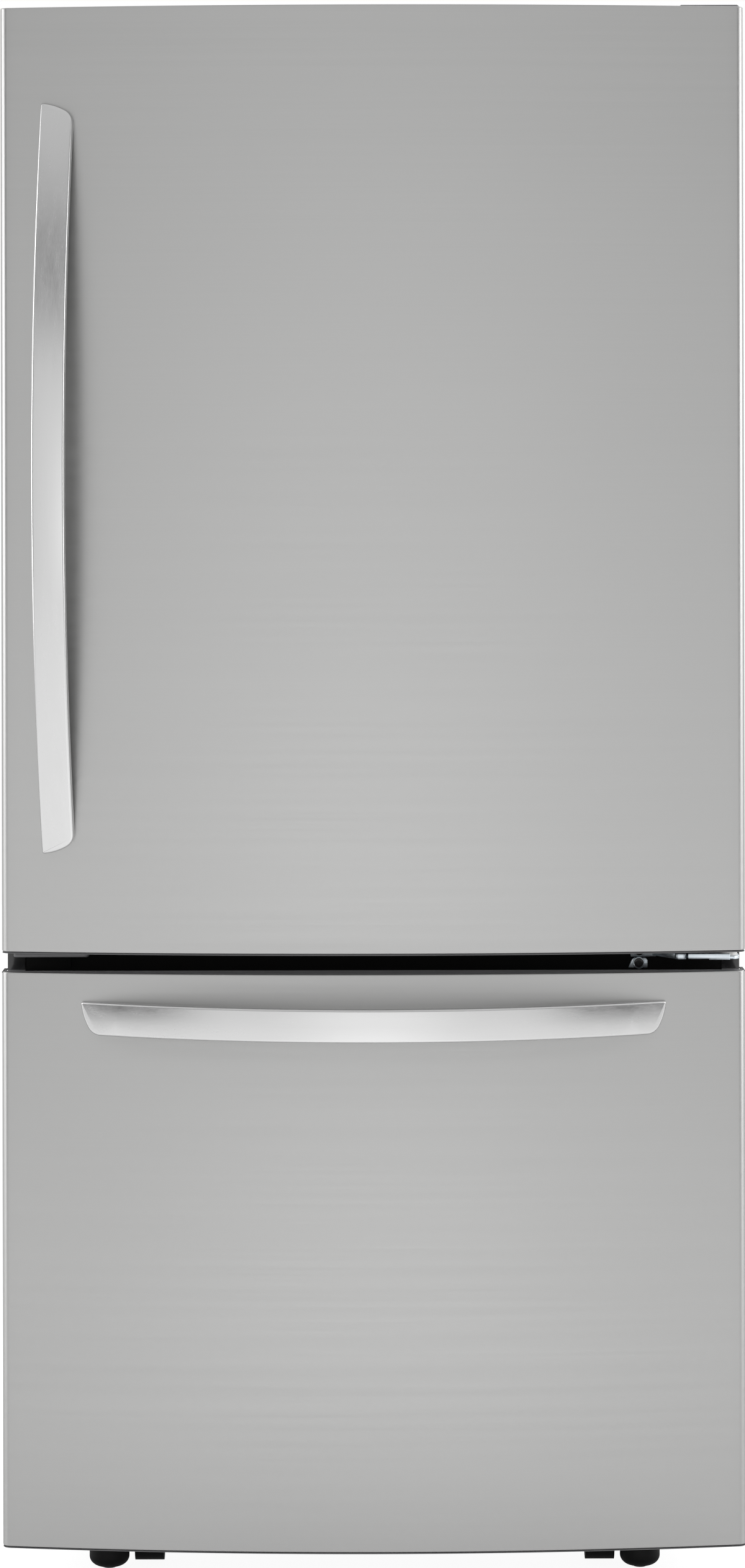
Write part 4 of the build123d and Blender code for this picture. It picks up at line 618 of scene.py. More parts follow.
# Each finish: its maker, its colour or the panel's colour of that name, its roughness and what else it sets.
FINISHES = {
    "brushed_front": (brushed, "front", 0.40, {
        "lines": (0.006, 0.006, 1.0), "turn": 0.25, "anisotropic": 0.7}),
    "satin_handle": (brushed, "handle", 0.24, {
        "lines": (1.0, 1.0, 0.008), "amount": 0.02, "wear": 0.01, "anisotropic": 0.3}),
    "satin_handle_level": (brushed, "handle", 0.24, {
        "lines": (0.008, 0.5, 1.0), "turn": 0.25, "amount": 0.02, "wear": 0.01, "anisotropic": 0.3}),
    "case_paint": (painted, "case", 0.45, {"grain": 600.0, "height": 0.00012}),
    "white_steel": (painted, (0.82, 0.82, 0.81), 0.35, {"height": 0.00003, "amount": 0.02, "coat": 0.2}),
    "black_enamel": (painted, (0.018, 0.018, 0.019), 0.28, {
        "grain": 500.0, "height": 0.00006, "amount": 0.15, "coat": 0.4}),
    "galvanised_steel": (plated, (0.55, 0.56, 0.57), 0.42, {"cell": 60.0, "amount": 0.12}),
    "rear_cover_sheet": (plated, (0.45, 0.46, 0.47), 0.45, {"cell": 60.0, "amount": 0.12}),
    "zinc_steel": (plated, (0.80, 0.87, 0.92), 0.36, {"cell": 240.0, "amount": 0.03, "change": 0.02}),
    "evaporator_aluminium": (plated, (0.78, 0.79, 0.80), 0.35, {"cell": 300.0, "amount": 0.05}),
    "copper_tube": (plated, (0.60, 0.33, 0.21), 0.35, {"cell": 200.0, "amount": 0.14}),
    "foam": (foamed, (0.86, 0.76, 0.50), 0.85, {}),
    "white_liner": (moulded, "liner", 0.28, {"grain": 1200.0, "height": 0.00002, "amount": 0.012}),
    "white_plastic": (moulded, (0.80, 0.80, 0.79), 0.38, {"amount": 0.02}),
    "grey_plastic": (moulded, (0.12, 0.12, 0.124), 0.42, {}),
    "black_plastic": (moulded, (0.006, 0.006, 0.0062), 0.5, {
        "grain": 1100.0, "height": 0.00005, "amount": 0.2, "Specular_IOR_Level": 0.2}),
    "black_trim": (moulded, (0.004, 0.004, 0.004), 0.6, {
        "grain": 1500.0, "amount": 0.2, "Specular_IOR_Level": 0.15}),
    "black_rubber": (moulded, (0.007, 0.007, 0.007), 0.72, {
        "grain": 800.0, "height": 0.00008, "amount": 0.18, "Specular_IOR_Level": 0.2}),
    "grey_gasket": (moulded, (0.42, 0.42, 0.43), 0.6, {"grain": 1000.0, "amount": 0.05, "Sheen_Weight": 0.2}),
    "clear_bin": (see_through, (0.90, 0.94, 0.96), 0.06, {"ior": 1.49, "weight": 0.92}),
    "shelf_glass": (see_through, (0.86, 0.95, 0.92), 0.02, {"ior": 1.52, "weight": 0.96}),
}


def finish_material(name):
    """The material of a finish, made the first time that it is asked for."""
    title = "finish_" + name
    made = bpy.data.materials.get(title)
    if made:
        return made
    maker, colour, roughness, rest = FINISHES[name]
    if isinstance(colour, str):
        colour = getattr(bpy.context.scene.fridge_finish, colour)
    return maker(title, colour, roughness, **rest).material


# ================================================================ fronts
def front_plan(fronts, half, nose_y, rear_y):
    """Plan points of a front's outer face with outward normals, from the left rear to the right rear."""
    edge = fronts.edge_radius / MM
    bow = bow_radius(half, fronts.bulge / MM)
    centre_y = nose_y + bow
    corner_x = half - edge
    corner_y = centre_y - math.sqrt((bow - edge) ** 2 - corner_x ** 2)
    stop = math.asin(corner_x / (bow - edge))
    steps = 10
    spans = 72
    left = [(-half, rear_y, -1.0, 0.0), (-half, (rear_y + corner_y) / 2, -1.0, 0.0)]
    for i in range(steps + 1):
        turn = math.pi / 2 + (stop - math.pi / 2) * i / steps
        nx, ny = -math.sin(turn), -math.cos(turn)
        left.append((-corner_x + edge * nx, corner_y + edge * ny, nx, ny))
    face = []
    for i in range(1, spans):
        turn = stop - 2 * stop * i / spans
        nx, ny = -math.sin(turn), -math.cos(turn)
        face.append((bow * nx, centre_y + bow * ny, nx, ny))
    right = [(-x, y, -nx, ny) for x, y, nx, ny in reversed(left)]
    return left + face + right


def fold_section(radius, sheet, fold, z0, z1):
    """Section of the sheet as (depth, z): lower fold, face and upper fold, then back along the inside."""
    outward = quarter(5)
    back = outward[::-1]
    inner = radius - sheet

    def lower(r, turns):
        return [(radius - r * math.sin(t), z0 + radius - r * math.cos(t)) for t in turns]

    def upper(r, turns):
        return [(radius - r * math.cos(t), z1 - radius + r * math.sin(t)) for t in turns]

    outside = [(fold, z0), *lower(radius, outward), *upper(radius, outward), (fold, z1)]
    inside = [(fold, z1 - sheet), *upper(inner, back), *lower(inner, back), (fold, z0 + sheet)]
    return outside + inside


def front_skin(name, fronts, node, notch=None):
    """Folded steel skin round a CAD skin's box; its upper fold stays ahead of a notch where it has one."""
    low, high = node_box(node)
    half = high[0]
    radius = fronts.fold_radius / MM
    sheet = fronts.sheet / MM
    points = []
    stations = front_plan(fronts, half, low[1], high[1])
    for x, y, nx, ny in stations:
        reach = half - fronts.edge_radius / MM - abs(x)
        fold = SIDE_FOLD if reach <= 0 else min(fronts.fold_width / MM, SIDE_FOLD + reach)
        if notch and x > 0 and reach > 0:
            fold = min(fold, max(SIDE_FOLD, (notch - y) / -ny))
        section = fold_section(radius, sheet, fold, low[2], high[2])
        points.extend((x - nx * d, y - ny * d, z) for d, z in section)
    size = len(section)
    return build_mesh(name, points, loop_faces(len(stations), size) + end_faces(len(stations), size))


def door_front(fronts):
    """Steel skin of the door, open at the upper right for the top hinge."""
    piece = front_skin("door_front", fronts, "door_skin", notch=NOTCH_Y)
    cut_hinge_recess(piece, NOTCH_Y, node_box("door_skin")[1])
    shade(piece.data, 35.0)
    finish_piece(piece, "brushed_front", "door", "door_skin")


def drawer_front(fronts):
    """Steel skin of the drawer, sloped down at its rear top and open for the lips on its sides."""
    low, high = node_box("drawer_skin")
    piece = front_skin("drawer_front", fronts, "drawer_skin")
    cut_slope(piece, high)
    for x0, x1 in ((-high[0] - PAST, -high[0] + SIDE_LIP), (high[0] - SIDE_LIP, high[0] + PAST)):
        cut_box(piece, (x0, low[1] + LIP_START, high[2] - LIP_DROP), (x1, high[1] + PAST, high[2] + PAST))
    shade(piece.data, 35.0)
    finish_piece(piece, "brushed_front", "drawer", "drawer_skin")


def cut_slope(piece, high):
    """Slope the rear top of the drawer's skin down to its cap."""
    start = high[1] - SLOPE_DEPTH
    foot = high[2] - SLOPE_DROP
    section = [(start, high[2] + PAST), (start + SLOPE_RUN, foot), (high[1] + PAST, foot),
               (high[1] + PAST, high[2] + PAST)]
    reach = high[0] + PAST
    points = [(x, y, z) for x in (-reach, reach) for y, z in section]
    cut_with(piece, build_mesh("cutter", points, loop_faces(2, 4) + end_faces(2, 4)))


def cut_hinge_recess(piece, front_y, high):
    """Open the upper right corner of a door piece round the top hinge, behind a depth."""
    beside, below, above = 4.0, 5.0, 10.0
    cover_low, _ = node_box("top_hinge_cover")
    cut_box(piece, (cover_low[0] - beside, front_y, cover_low[2] - below),
            (high[0] + PAST, high[1] + PAST, high[2] + above))


# ================================================================ end caps
def slab_outline(fronts, node, inset, rear_y):
    """Plan outline of a front drawn inward, from the left rear to the right rear."""
    low, high = node_box(node)
    outline = []
    for x, y, nx, ny in front_plan(fronts, high[0], low[1], rear_y):
        reach = high[0] - fronts.edge_radius / MM - abs(x)
        depth = min(inset, SIDE_FOLD + max(reach, 0.0))
        outline.append((x - nx * depth, y - ny * depth))
    return outline


def bowed_line(fronts, node, reach, depth):
    """Plan points of an arc that runs a depth behind a front's bowed face."""
    low, high = node_box(node)
    bow = bow_radius(high[0], fronts.bulge / MM)
    spans = 80
    xs = [-reach + 2 * reach * i / spans for i in range(spans + 1)]
    return [(x, low[1] + bow - math.sqrt(bow ** 2 - x * x) + depth) for x in xs]


def stacked_outlines(fronts, node, rear_y, levels):
    """Closed shape from plan outlines at (inset, z) levels, lowest first."""
    rings = [[(x, y, z) for x, y in slab_outline(fronts, node, inset, rear_y)] for inset, z in levels]
    size = len(rings[0])
    return [p for ring in rings for p in ring], loop_faces(len(rings), size) + end_faces(len(rings), size)


def end_rim(fronts, node, edge_z, rear_y):
    """Rim of a lower cap, set off from the sheet's edge by a dark groove."""
    foot = edge_z - RIM_DEPTH
    groove = 2.4
    levels = [(0.8, foot), (0.3, foot + 0.4), (0.3, edge_z - 1.0), (groove, edge_z - 0.9),
              (groove, edge_z + 0.06)]
    return stacked_outlines(fronts, node, rear_y - 0.1, levels)


def door_end_caps(fronts):
    """Upper cap with the hinge recess, and lower cap with its groove, rim, bush and spare plug."""
    skin_low, _ = node_box("door_skin")
    low, high = node_box("door_caps")
    pin_x = node_box("middle_hinge_bracket")[1][0] - PIN_INSET
    pin_y = skin_low[1] + PIN_BACK
    cap_rear, cap_depth, bore_depth = high[1] - 3.0, 54.0, 50.0
    upper = build_mesh("door_upper_cap", *stacked_outlines(fronts, "door_skin", cap_rear, [
        (SHEET_GAP, high[2] - cap_depth), (SHEET_GAP, high[2] - 0.8), (SHEET_GAP + 0.8, high[2])]))
    cut_hinge_recess(upper, NOTCH_Y, high)
    drill(upper, pin_x, pin_y, high[2] - bore_depth, high[2])
    shade(upper.data, 40.0)
    finish_piece(upper, "grey_plastic", "door", "door_caps")

    edge_z = skin_low[2]
    foot = edge_z - RIM_DEPTH
    lower = build_mesh("door_lower_cap", *stacked_outlines(fronts, "door_skin", cap_rear, [
        (SHEET_GAP, edge_z + 0.05), (SHEET_GAP, edge_z + 26.0)]))
    rim = build_mesh("door_lower_rim", *end_rim(fronts, "door_skin", edge_z, high[1]))
    for piece in (lower, rim):
        drill(piece, pin_x, pin_y, edge_z - 9.0, edge_z + 19.4)
        shade(piece.data, 40.0)
        finish_piece(piece, "grey_plastic", "door", "door_caps")
    flange, tip = 13.5, 12.5
    bush = turned([(BORE_RADIUS, edge_z - 2.5), (tip, edge_z - 2.5), (flange, foot + 0.1),
                   (flange, foot + 0.3), (BORE_RADIUS, foot + 0.3)], (pin_x, pin_y, 0.0), hollow=True)
    finish_piece(build_mesh("door_lower_bush", *bush), "grey_plastic", "door", "door_caps")
    plug_left, plug_right, plug_front = -403.0, -319.0, skin_low[1] + 37.0
    plug = build_mesh("door_spare_plug", *rounded_box((plug_left, plug_front, low[2] + 0.02),
                                                      (plug_right, high[1] - 8.0, foot + 0.2), 5.0))
    round_edges(plug, 1.4, 3)
    finish_piece(plug, "grey_plastic", "door", "door_caps")


def drawer_end_caps(fronts):
    """Black caps that close the drawer front's ends, the upper one stepped down behind its bead."""
    low, high = node_box("drawer_skin")
    half = high[0]
    rear_y = node_box("drawer_caps")[1][1]
    top = high[2] - 0.7
    step = high[2] - SLOPE_DROP
    bead_start, bead_stop = 12.5, 17.5
    back = stacked_outlines(fronts, "drawer_skin", rear_y, [(SHEET_GAP, step - 2.0), (SHEET_GAP, step)])
    plan = front_plan(fronts, half, low[1], high[1])[2:-2]
    near = [(x - nx * SHEET_GAP, y - ny * SHEET_GAP) for x, y, nx, ny in plan]
    far = bowed_line(fronts, "drawer_skin", half - SHEET_GAP, bead_stop - 0.5)
    band = prism(near + far[::-1], step - 0.5, top)
    lower = stacked_outlines(fronts, "drawer_skin", rear_y, [
        (SHEET_GAP, low[2] + 0.05), (SHEET_GAP, low[2] + 12.0)])
    lips = box_pair((half - SIDE_LIP + 0.1, low[1] + LIP_START + 0.1, high[2] - LIP_DROP - 0.05),
                    (half - 0.05, high[1] - SLOPE_DEPTH + 1.0, high[2] - 0.05))
    caps = build_mesh("drawer_end_caps", *join_shapes([back, band, lower, *lips]))
    finish_piece(caps, "black_plastic", "drawer", "drawer_caps")
    rim = build_mesh("drawer_lower_rim", *end_rim(fronts, "drawer_skin", low[2], high[1]))
    finish_piece(rim, "grey_plastic", "drawer", "drawer_caps")
    reach = half - SIDE_FOLD - 0.2
    near = bowed_line(fronts, "drawer_skin", reach, bead_start)
    far = bowed_line(fronts, "drawer_skin", reach, bead_stop)
    bead = build_mesh("drawer_top_bead", *prism(near + far[::-1], top - 2.0, high[2] - 0.02))
    round_edges(bead, 0.4, 2)
    finish_piece(bead, "grey_plastic", "drawer", "drawer_caps")


def raised_field(node, past_y):
    """Lowest and highest X and Z of the part of a CAD node that lies behind a depth."""
    places = [v.co / MM for v in frame["nodes"][node].data.vertices if v.co.y / MM > past_y]
    xs = [p.x for p in places]
    zs = [p.z for p in places]
    return (min(xs), min(zs)), (max(xs), max(zs))


def drawer_panel():
    """Inner panel of the drawer front with its raised field and moulded border."""
    low, high = node_box("drawer_liner")
    sheet_y = low[1] + 2.0
    corner = 18.0
    sheet = box_shape((low[0] + 0.2, low[1], low[2] + 0.1),
                      (high[0] - 0.2, sheet_y, high[2] - SLOPE_DROP - 0.5))
    field_low, field_high = raised_field("drawer_liner", sheet_y + 1.0)
    points = []
    for inset, y in ((0.0, sheet_y - 0.5), (0.0, sheet_y + 2.0), (4.0, sheet_y + 12.5),
                     (6.5, sheet_y + 13.9)):
        corners = rounded_box((field_low[0] + inset, field_low[1] + inset, 0),
                              (field_high[0] - inset, field_high[1] - inset, 1), corner - inset)[0]
        ring = [(x, y, z) for x, z, _ in corners[:len(corners) // 2]]
        points += ring
    field = points, loop_faces(4, len(ring)) + end_faces(4, len(ring))
    panel = build_mesh("drawer_inner_panel", *join_shapes([sheet, field]))
    round_edges(panel, 0.6, 2, 60.0)
    finish_piece(panel, "white_liner", "drawer", "drawer_liner")


# ================================================================ bow handles
def strap_outline(half, width, slant):
    """Flat outline of a handle: its long edge at +Y, slanted ends with a slight belly, rounded corners."""
    short_half = half - slant
    top, bottom = width / 2, -width / 2
    small, large = 3.5, 9.0
    belly = 3.0
    corner_a = Vector((half, top))
    corner_b = Vector((short_half, bottom))
    edge = corner_b - corner_a
    out = Vector((-edge.y, edge.x)).normalized()

    def on_belly(share):
        return corner_a + edge * share + out * belly * 4 * share * (1 - share)

    share_a = small / edge.length
    share_b = 1 - large / edge.length

    def bend(a, corner, b, count):
        return [(1 - t) ** 2 * a + 2 * t * (1 - t) * corner + t * t * b for t in
                (i / count for i in range(count + 1))]

    end = bend(Vector((half - small, top)), corner_a, on_belly(share_a), 6)
    middle = [on_belly(share_a + (share_b - share_a) * i / 6) for i in range(1, 6)]
    end += middle + bend(on_belly(share_b), corner_b, Vector((short_half - large, bottom)), 8)
    spans = 64
    shares = [2 * i / spans - 1 for i in range(1, spans)]
    long_edge = [Vector(((half - small) * share, top)) for share in shares]
    short_edge = [Vector(((large - short_half) * share, bottom)) for share in shares]
    other = [Vector((-p.x, p.y)) for p in reversed(end)]
    split = len(other) // 2
    outline = other[split:] + long_edge + end + short_edge + other[:split]
    if len(outline) % 2:
        outline.pop(len(outline) - split // 2)
    return outline


def inset_outline(outline, depth):
    """Outline drawn inward by a depth along its own normals."""
    count = len(outline)
    result = []
    for i in range(count):
        tangent = (outline[(i + 1) % count] - outline[i - 1]).normalized()
        result.append(outline[i] + Vector((tangent.y, -tangent.x)) * depth)
    return result


def bow_handle(name, handles, length, bow, matrix, body, node, finish):
    """Strap bent to its bow by the tree, then set on the front by a matrix."""
    edge = handles.edge / MM
    thickness = handles.thickness / MM
    outline = strap_outline(length / 2, STRAP_WIDTH, handles.slant / MM)
    levels = [(edge - edge * math.sin(t), edge - edge * math.cos(t)) for t in quarter(6)]
    levels += [(0.0, thickness - 1.5), (0.5, thickness - 0.5), (1.5, thickness)]
    points = []
    for inset, depth in levels:
        points.extend((p.x, p.y, depth) for p in inset_outline(outline, inset))
    size = len(outline)
    faces = loop_faces(len(levels), size)
    faces += ladder_cap(ring_range(0, size)) + ladder_cap(ring_range(len(levels) - 1, size))
    piece = build_mesh(name, points, faces, 50.0)
    tree = bpy.data.node_groups.get("Bow Strap") or bow_tree()
    run_tree(piece, tree, {"Half Length": length / 2 * MM, "Bow": bow * MM - handles.lift,
                           "Lift": handles.lift, "Material": finish_material(finish)})
    piece.data.transform(matrix)
    face_outward(piece.data)
    shade(piece.data, 50.0)
    finish_piece(piece, finish, body, node)


# ================================================================ hinges
def arc_points(centre, radius, start, stop, steps):
    """Points of a circular arc in plan, angles in degrees."""
    result = []
    for i in range(steps + 1):
        turn = math.radians(start + (stop - start) * i / steps)
        result.append((centre[0] + radius * math.cos(turn), centre[1] + radius * math.sin(turn)))
    return result


def shifted(outline, x, z):
    """Outline moved by a step in X and a step in Z."""
    return [(dx + x, dz + z) for dx, dz in outline]


def upright(outline, y0, y1):
    """Points and faces of a plate that stands across Y, from an outline in X and Z."""
    points, faces = prism(outline, y0, y1)
    return [(x, depth, z) for x, z, depth in points], faces


def rounded_box(low, high, radius):
    """Box with rounded upright edges."""
    steps = 4
    outline = []
    for cx, cy, start in ((high[0] - radius, high[1] - radius, 0), (low[0] + radius, high[1] - radius, 90),
                          (low[0] + radius, low[1] + radius, 180), (high[0] - radius, low[1] + radius, 270)):
        outline += arc_points((cx, cy), radius, start, start + 90, steps)
    return prism(outline, low[2], high[2])


def screw_head(name, radius, height, socket):
    """Flanged button head with a six-lobed socket, its seat at z = 0."""
    steps = 36
    rings = [(radius, 0.0), (radius, height * 0.28), (radius * 0.93, height * 0.42)]
    lip = socket * 1.08
    for turn in quarter(5)[1:]:
        rings.append((lip + (radius * 0.82 - lip) * math.cos(turn), height * (0.45 + 0.55 * math.sin(turn))))
    points = turned(rings, (0.0, 0.0, 0.0), steps)[0]
    sunk = [(socket, height * 0.98), (socket * 0.94, height * 0.3)]
    for r, z in sunk:
        for i in range(steps):
            turn = 2 * math.pi * i / steps
            lobe = r * (0.90 + 0.10 * math.cos(6 * turn))
            points.append((lobe * math.cos(turn), lobe * math.sin(turn), z))
    count = len(rings) + len(sunk)
    return build_mesh(name, points, loop_faces(count, steps) + end_faces(count, steps), 30.0)


def hinge_plate(pin_x, pin_y, front_y, leaf_y, plate_top, foot):
    """Shapes of the middle hinge: plate over the pin, slanted side, stop tab, lip and two-lobed leaf."""
    plate_low = plate_top - 3.5
    left, shoulder = pin_x - 84.0, pin_x - 46.0
    nose = arc_points((pin_x, pin_y), PIN_INSET, 300, 360, 8)
    outline = [(left, leaf_y), (shoulder, front_y + 7.0), (shoulder + 3.0, front_y + 1.2),
               (pin_x + 4.0, front_y + 1.2), *nose, (pin_x + PIN_INSET, leaf_y + 1.0), (left, leaf_y + 1.0)]
    side = [(left, leaf_y + 0.6), (pin_x - 59.0, front_y + 10.0), (pin_x - 56.5, front_y + 12.0),
            (pin_x - 80.0, leaf_y + 0.6)]
    tab = rounded_box((pin_x - 60.5, front_y + 0.6, plate_low - 0.2),
                      (pin_x - 48.0, front_y + 12.0, plate_top + 2.6), 4.0)
    lip = shifted(((-46.0, -3.1), (-23.0, -3.1), (-22.0, -4.3), (1.0, -4.3), (1.0, 2.8), (-46.0, 2.8)),
                  pin_x, plate_top)
    upper = shifted(((-107.6, -6.2), (-79.0, -6.0), (-79.0, 9.0), (-104.0, 9.0), (-108.5, 4.0)),
                    pin_x, plate_top)
    lower = shifted(((-110.2, 0.0), (-88.6, 0.0), (-88.6, 8.6), (-90.8, 11.0), (-103.6, 11.2), (-106.4, 9.2)),
                    pin_x, foot)
    return [prism(outline, plate_low, plate_top), prism(side, plate_low - 1.0, plate_top + 2.6), tab,
            upright(lip, front_y, front_y + 2.4), upright(upper, leaf_y - 0.9, leaf_y + 2.9),
            upright(lower, leaf_y - 0.6, leaf_y + 2.9)]


def middle_hinge():
    """Plate, washer and pin of the middle hinge; gives its two screws' seats with their sizes."""
    low, high = node_box("middle_hinge_bracket")
    washer_height, pin_rise = 7.2, 20.0
    pin_x, pin_y = high[0] - PIN_INSET, low[1] + PIN_INSET
    plate_top = high[2] - pin_rise - washer_height
    leaf_y = high[1] - 3.0
    foot = plate_top - 18.6
    shapes = hinge_plate(pin_x, pin_y, low[1], leaf_y, plate_top, foot)
    piece = build_mesh("middle_hinge_plate", *join_shapes(shapes))
    round_edges(piece, 0.45, 2)
    bore, outer = PIN_RADIUS + 0.02, 10.0
    seat, crown = plate_top + 0.01, plate_top + washer_height - 0.01
    washer = turned([(bore, seat), (outer - 0.6, seat), (outer, seat + 0.6), (outer, crown - 0.8),
                     (outer - 0.8, crown), (bore, crown)], (pin_x, pin_y, 0.0), hollow=True)
    pin = turned([(PIN_RADIUS, plate_top - 3.5), (PIN_RADIUS, high[2] - 1.2), (PIN_RADIUS - 1.2, high[2])],
                 (pin_x, pin_y, 0.0))
    finish_piece(build_mesh("middle_hinge_washer", *washer), "white_plastic", "cabinet",
                 "middle_hinge_bracket")
    finish_piece(build_mesh("middle_hinge_pin", *pin), "zinc_steel", "cabinet", "middle_hinge_bracket")
    finish_piece(piece, "zinc_steel", "cabinet", "middle_hinge_bracket")
    screw_size = 0.85
    return [(pin_x - 98.0, leaf_y - 0.9, plate_top + 0.8, screw_size),
            (pin_x - 98.6, leaf_y - 0.6, foot + 5.4, screw_size)]


def mullion_shade_covers():
    """Dark covers on the case's flange, from the mullion bar's ends to the case's sides: black sheets that
    paint the shade in the gap between the door and the drawer.
    """
    shell_low, shell_high = node_box("cabinet_shell")
    _, bar_high = node_box("mullion_bar")
    bottom = node_box("drawer_gasket")[1][2] + 0.2
    top = node_box("door_gasket")[0][2] - 0.2
    # Painted shade: black sheets where the flange in the gap between the fronts lies in shadow.
    shapes = box_pair((bar_high[0] + 0.05, shell_low[1] - 1.0, bottom),
                      (shell_high[0] - 0.4, shell_low[1] - 0.05, top))
    shade_covers = build_mesh("mullion_end_covers", *join_shapes(shapes))
    round_edges(shade_covers, 0.3, 2)
    finish_piece(shade_covers, "black_enamel", "cabinet")


def turned_part(name, profile, steps=32, hollow=False):
    """Small solid of revolution about Z at the origin, as a part to set on points."""
    return build_mesh(name, *turned(profile, (0.0, 0.0, 0.0), steps=steps, hollow=hollow), 40.0)


# ================================================================ feet
def levelling_foot(name, node, body):
    """Black bowl of a levelling foot with its nut and threaded stem."""
    low, high = node_box(node)
    centre = ((low[0] + high[0]) / 2, (low[1] + high[1]) / 2, 0.0)
    radius = (high[0] - low[0]) / 2
    sole, shoulder, rim_z = 9.0, 11.5, 25.0
    belly_z = low[2] + 1.6
    bowl = [(sole - 1.5, low[2]), (sole, belly_z)]
    for turn in quarter(10)[1:]:
        bowl.append((sole + (radius - sole) * math.sin(turn), belly_z + shoulder * (1 - math.cos(turn))))
    bowl += [(radius, rim_z - 1.5), (radius - 0.5, rim_z - 0.4), (radius - 1.6, rim_z), (6.0, rim_z)]
    nut = turned([(8.5, 0.0), (9.4, 0.7), (9.4, 4.6), (8.5, 5.3), (5.0, 5.3)], (*centre[:2], rim_z), steps=6)
    crest, root, pitch = 4.95, 4.35, 1.4
    stem = []
    z = rim_z + 5.0
    while z < high[2] - 1.0:
        stem += [(crest, z), (crest, z + 0.35), (root, z + 0.75), (root, z + 1.0)]
        z += pitch
    stem += [(root - 0.05, high[2] - 0.6), (root - 0.55, high[2])]
    shapes = [turned(bowl, centre, steps=48), nut, turned(stem, centre, steps=24)]
    finish_piece(build_mesh(name, *join_shapes(shapes), 40.0), "black_plastic", body, node)


# ================================================================ seals
def gasket_ring(name, node, body):
    """Magnetic seal round a front: foot, two bellows and magnet head, mitred at its corners."""
    low, high = node_box(node)
    # Outline of the seal as (inset from its outer edge, share of its depth).
    section = [(0.0, 0.0), (0.0, 0.14), (1.2, 0.20), (3.4, 0.26), (4.4, 0.36), (3.2, 0.46), (1.6, 0.54),
               (1.2, 0.64), (2.0, 0.72), (2.0, 0.92), (2.9, 1.0), (15.2, 1.0), (16.0, 0.93), (16.0, 0.74),
               (14.9, 0.66), (13.4, 0.60), (12.6, 0.50), (13.2, 0.40), (14.6, 0.31), (16.8, 0.22),
               (18.0, 0.15), (18.0, 0.0)]
    points = []
    for inset, share in section:
        y = low[1] + share * (high[1] - low[1])
        left, right, bottom, top = low[0] + inset, high[0] - inset, low[2] + inset, high[2] - inset
        points += [(left, y, bottom), (right, y, bottom), (right, y, top), (left, y, top)]
    piece = build_mesh(name, points, loop_faces(len(section), 4, closed=True), 50.0)
    finish_piece(piece, "grey_gasket", body, node)


# ================================================================ operators
class FRIDGE_OT_fronts(bpy.types.Operator):
    """Fold the bowed steel skins of the door and the drawer"""
    bl_idname = "fridge.fronts"
    bl_label = "Steel fronts"

    def execute(self, context):
        fronts = context.scene.fridge_fronts
        door_front(fronts)
        drawer_front(fronts)
        return {"FINISHED"}


class FRIDGE_OT_handles(bpy.types.Operator):
    """Bend the two bow handles along their arcs"""
    bl_idname = "fridge.handles"
    bl_label = "Bow handles"

    def execute(self, context):
        handles = context.scene.fridge_handles
        low, high = node_box("door_skin")
        radius = bow_radius(high[0], context.scene.fridge_fronts.bulge / MM)
        centre_y = low[1] + radius
        bow = handles.bow / MM
        x = -high[0] + STRAP_INSET
        nx, ny = x / radius, -math.sqrt(1 - (x / radius) ** 2)
        matrix = Matrix(((0, ny, nx, x * MM), (0, -nx, ny, (centre_y + radius * ny) * MM),
                         (1, 0, 0, middle_height("door_handle") * MM), (0, 0, 0, 1)))
        bow_handle("door_bow_handle", handles, DOOR_STRAP, bow, matrix, "door", "door_handle", "satin_handle")
        fall = radius - math.sqrt(radius ** 2 - (DRAWER_STRAP / 2) ** 2)
        matrix = Matrix(((1, 0, 0, 0), (0, 0, -1, (centre_y - radius + fall) * MM),
                         (0, 1, 0, middle_height("drawer_handle") * MM), (0, 0, 0, 1)))
        bow_handle("drawer_bow_handle", handles, DRAWER_STRAP, bow + fall, matrix, "drawer", "drawer_handle",
                   "satin_handle_level")
        return {"FINISHED"}


class FRIDGE_OT_hinges(bpy.types.Operator):
    """Make the middle hinge with its washer, pin and two screws, and the dark covers at the mullion's ends
    that paint the shade in the gap
    """
    bl_idname = "fridge.hinges"
    bl_label = "Hinges"

    def execute(self, context):
        places = [(x, y, z, FORWARD, size) for x, y, z, size in middle_hinge()]
        mullion_shade_covers()
        collar = turned_part("collar_part", [(6.3, 0.0), (8.2, 0.0), (8.2, 0.5), (7.5, 1.7), (6.9, 1.8),
                                             (6.3, 1.4)], hollow=True)
        head = screw_head("head_part", 6.28, 0.5, 3.4)
        set_on_points("middle_hinge_collars", collar, places, "zinc_steel", "cabinet")
        set_on_points("middle_hinge_screws", head, places, "black_enamel", "cabinet")
        remove_piece(collar)
        remove_piece(head)
        return {"FINISHED"}


class FRIDGE_OT_end_caps(bpy.types.Operator):
    """Mould the end caps of the door and the drawer and the drawer's inner panel"""
    bl_idname = "fridge.end_caps"
    bl_label = "End caps"

    def execute(self, context):
        fronts = context.scene.fridge_fronts
        door_end_caps(fronts)
        drawer_end_caps(fronts)
        drawer_panel()
        return {"FINISHED"}


class FRIDGE_OT_feet(bpy.types.Operator):
    """Turn the two levelling feet"""
    bl_idname = "fridge.feet"
    bl_label = "Levelling feet"

    def execute(self, context):
        for side in ("left", "right"):
            levelling_foot(f"foot_bowl_{side}", f"levelling_foot_{side}", f"foot_{side}")
        return {"FINISHED"}


